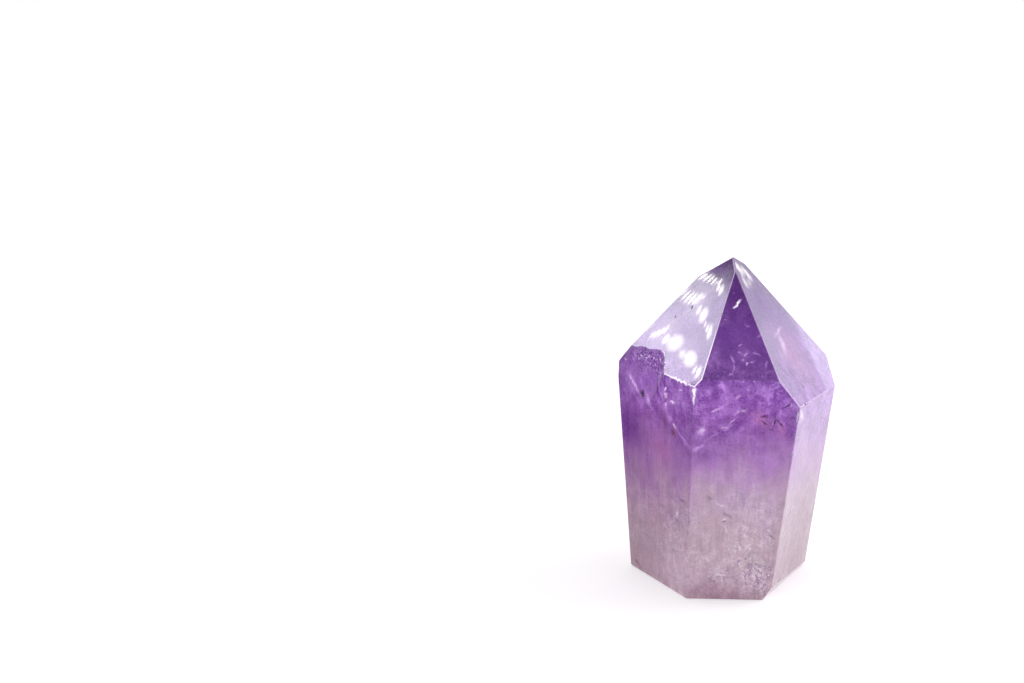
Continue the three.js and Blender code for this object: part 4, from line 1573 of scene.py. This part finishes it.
    def hang_glow(
        self, name: str, face: Face, shapes: Sequence[Sequence[Glow]], distance: float, added: bool = False
    ) -> None:
        """Hangs flat lit shapes where one face of the stone mirrors them to the camera.

        Args:
            name: what the shapes are called.
            face: the face that mirrors them.
            shapes: the corners of each shape.
            distance: how far from the face they hang, in metres.
            added: whether their light adds to what hangs behind them.
        """
        facet = find_facet(face)
        net = bmesh.new()
        radiance = net.verts.layers.float.new("radiance")
        for shape in shapes:
            corners = []
            for glow in shape:
                corner = net.verts.new(facet.mirrored(glow.at, distance))
                corner[radiance] = glow.radiance
                corners.append(corner)
            net.faces.new(corners)
        mesh = bpy.data.meshes.new(name)
        net.to_mesh(mesh)
        net.free()
        lit = link_mesh(name, mesh)
        material, tree = new_material(f"{name}_glow")
        strength = add_node(tree, "Attribute", {"attribute_name": "radiance"}).outputs["Fac"]
        tint = linear((Tint.LAMP if added else Tint.CARD).value)
        light = add_node(tree, "Emission", feeds={"Color": tint, "Strength": strength}).outputs[0]
        if added:
            behind = add_node(tree, "BsdfTransparent").outputs[0]
            light = add_node(tree, "AddShader", feeds={0: light, 1: behind}).outputs[0]
        add_node(tree, "OutputMaterial", feeds={"Surface": light})
        mesh.materials.append(material)
        self.show_only_mirrored(lit)

    def between(self, rows: Sequence[Sequence[Glow]]) -> list[list[Glow]]:
        """Returns the four-cornered shapes between each row and the next."""
        return [
            [one[i], one[i + 1], other[i + 1], other[i]]
            for one, other in zip(rows, rows[1:]) for i in range(len(one) - 1)
        ]

    def hang_cards(self) -> None:
        """Hangs the pale cards and the small lamps that the two outer tip faces mirror."""
        self.hang_glow("left_card", Face.LEFT_TIP, self.between(self.left_card), self.card_distance)
        self.hang_glow("tip_felt", Face.LEFT_TIP, [self.tip_felt], self.card_distance)
        self.hang_glow("right_card", Face.RIGHT_TIP, self.between(self.right_card), self.card_distance)
        for name, face, lamps in (
            ("left_lamps", Face.LEFT_TIP, self.left_lamps),
            ("right_lamps", Face.RIGHT_TIP, self.right_lamps),
        ):
            shapes = [shape for lamp in lamps for shape in lamp.shapes()]
            self.hang_glow(name, face, shapes, self.lamp_distance, added=True)

    def put_felt(self, felt: Felt) -> None:
        """Puts dark felt where a face would otherwise mirror the white board or the bright room."""
        select_nothing()
        bpy.ops.mesh.primitive_plane_add(size=1.0, location=felt.middle)
        cloth = bpy.context.object
        cloth.name = felt.name
        cloth.scale = (*felt.size, 1.0)
        if felt.upright:
            cloth.rotation_euler = (math.pi / 2, 0, 0)
        # Wool felt: a deep violet without any gleam, which fades out at its rim
        material, tree = new_material(f"{felt.name}_wool")
        place = add_node(tree, "TexCoord").outputs["Object"]
        edge = add_node(tree, "VectorMath", {"operation": "ABSOLUTE"}, {0: place})
        sides = add_node(tree, "SeparateXYZ", feeds={0: edge.outputs[0]})
        across, along = (
            add_node(
                tree, "MapRange", SMOOTH,
                {"Value": sides.outputs[axis], "From Min": 0.5,
                 "From Max": 0.5 - self.felt_fade / felt.size[axis]},
            ).outputs[0]
            for axis in (0, 1)
        )
        cover = add_node(tree, "Math", {"operation": "MULTIPLY"}, {0: across, 1: along})
        surface = add_node(
            tree, "BsdfPrincipled",
            feeds={"Base Color": linear(self.felt_colour), "Roughness": 1.0, "Specular IOR Level": 0.0,
                   "Alpha": cover.outputs[0]},
        )
        add_node(tree, "OutputMaterial", feeds={"Surface": surface.outputs[0]})
        cloth.data.materials.append(material)
        self.show_only_mirrored(cloth)

    def light_room(self) -> None:
        """Sets the even light of the room, brightest near the floor."""
        world = bpy.data.worlds.new("room")
        world.use_nodes = True
        bpy.context.scene.world = world
        tree = world.node_tree
        tree.nodes.clear()
        height = add_node(tree, "SeparateXYZ", feeds={0: add_node(tree, "TexCoord").outputs["Generated"]})
        dimmer = add_node(
            tree, "MapRange",
            feeds={"Value": height.outputs["Z"], "From Min": 0.0, "From Max": self.room_high,
                   "To Min": self.room_radiance[0], "To Max": self.room_radiance[1]},
        )
        glow = add_node(tree, "Background", feeds={"Color": linear("#ffffff"), "Strength": dimmer.outputs[0]})
        add_node(tree, "OutputWorld", feeds={"Surface": glow.outputs[0]})

    def place_camera(self) -> None:
        """Puts the camera where the photograph was taken from."""
        camera = bpy.data.cameras.new("camera")
        camera.lens = VIEW.lens_mm
        camera.sensor_width = VIEW.sensor_mm
        eye = bpy.data.objects.new("camera", camera)
        bpy.context.scene.collection.objects.link(eye)
        eye.location = VIEW.at
        eye.rotation_euler = (math.pi / 2 - VIEW.pitch_down, 0, 0)
        bpy.context.scene.camera = eye

    def set_picture(self) -> None:
        """Sets how light turns into the picture's colours, and how far light is followed."""
        scene = bpy.context.scene
        scene.view_settings.view_transform = "Standard"
        scene.cycles.max_bounces = 20
        scene.cycles.transmission_bounces = 16
        scene.cycles.glossy_bounces = 8
        scene.cycles.transparent_max_bounces = 32

    def build(self) -> None:
        """Builds the whole studio."""
        self.set_picture()
        self.place_camera()
        self.lay_floor()
        self.light_room()
        for panel in self.panels:
            self.hang_panel(panel)
        self.hang_cards()
        for felt in self.felts:
            self.put_felt(felt)


def corners(box: tuple[Vector, Vector]) -> list[list[float]]:
    return [list(corner) for corner in box]


def main() -> None:
    """Builds the stone and its studio."""
    logging.basicConfig(level=logging.INFO, format="%(message)s")
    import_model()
    Studio().build()
    stone = Stone().build()
    curls = Curls().build(Stone().ground_planes(bpy.data.objects[STONE]))
    for piece in (stone, curls):
        log.info("%s: %d faces", piece.name, len(piece.data.polygons))


if __name__ == "__main__":
    main()
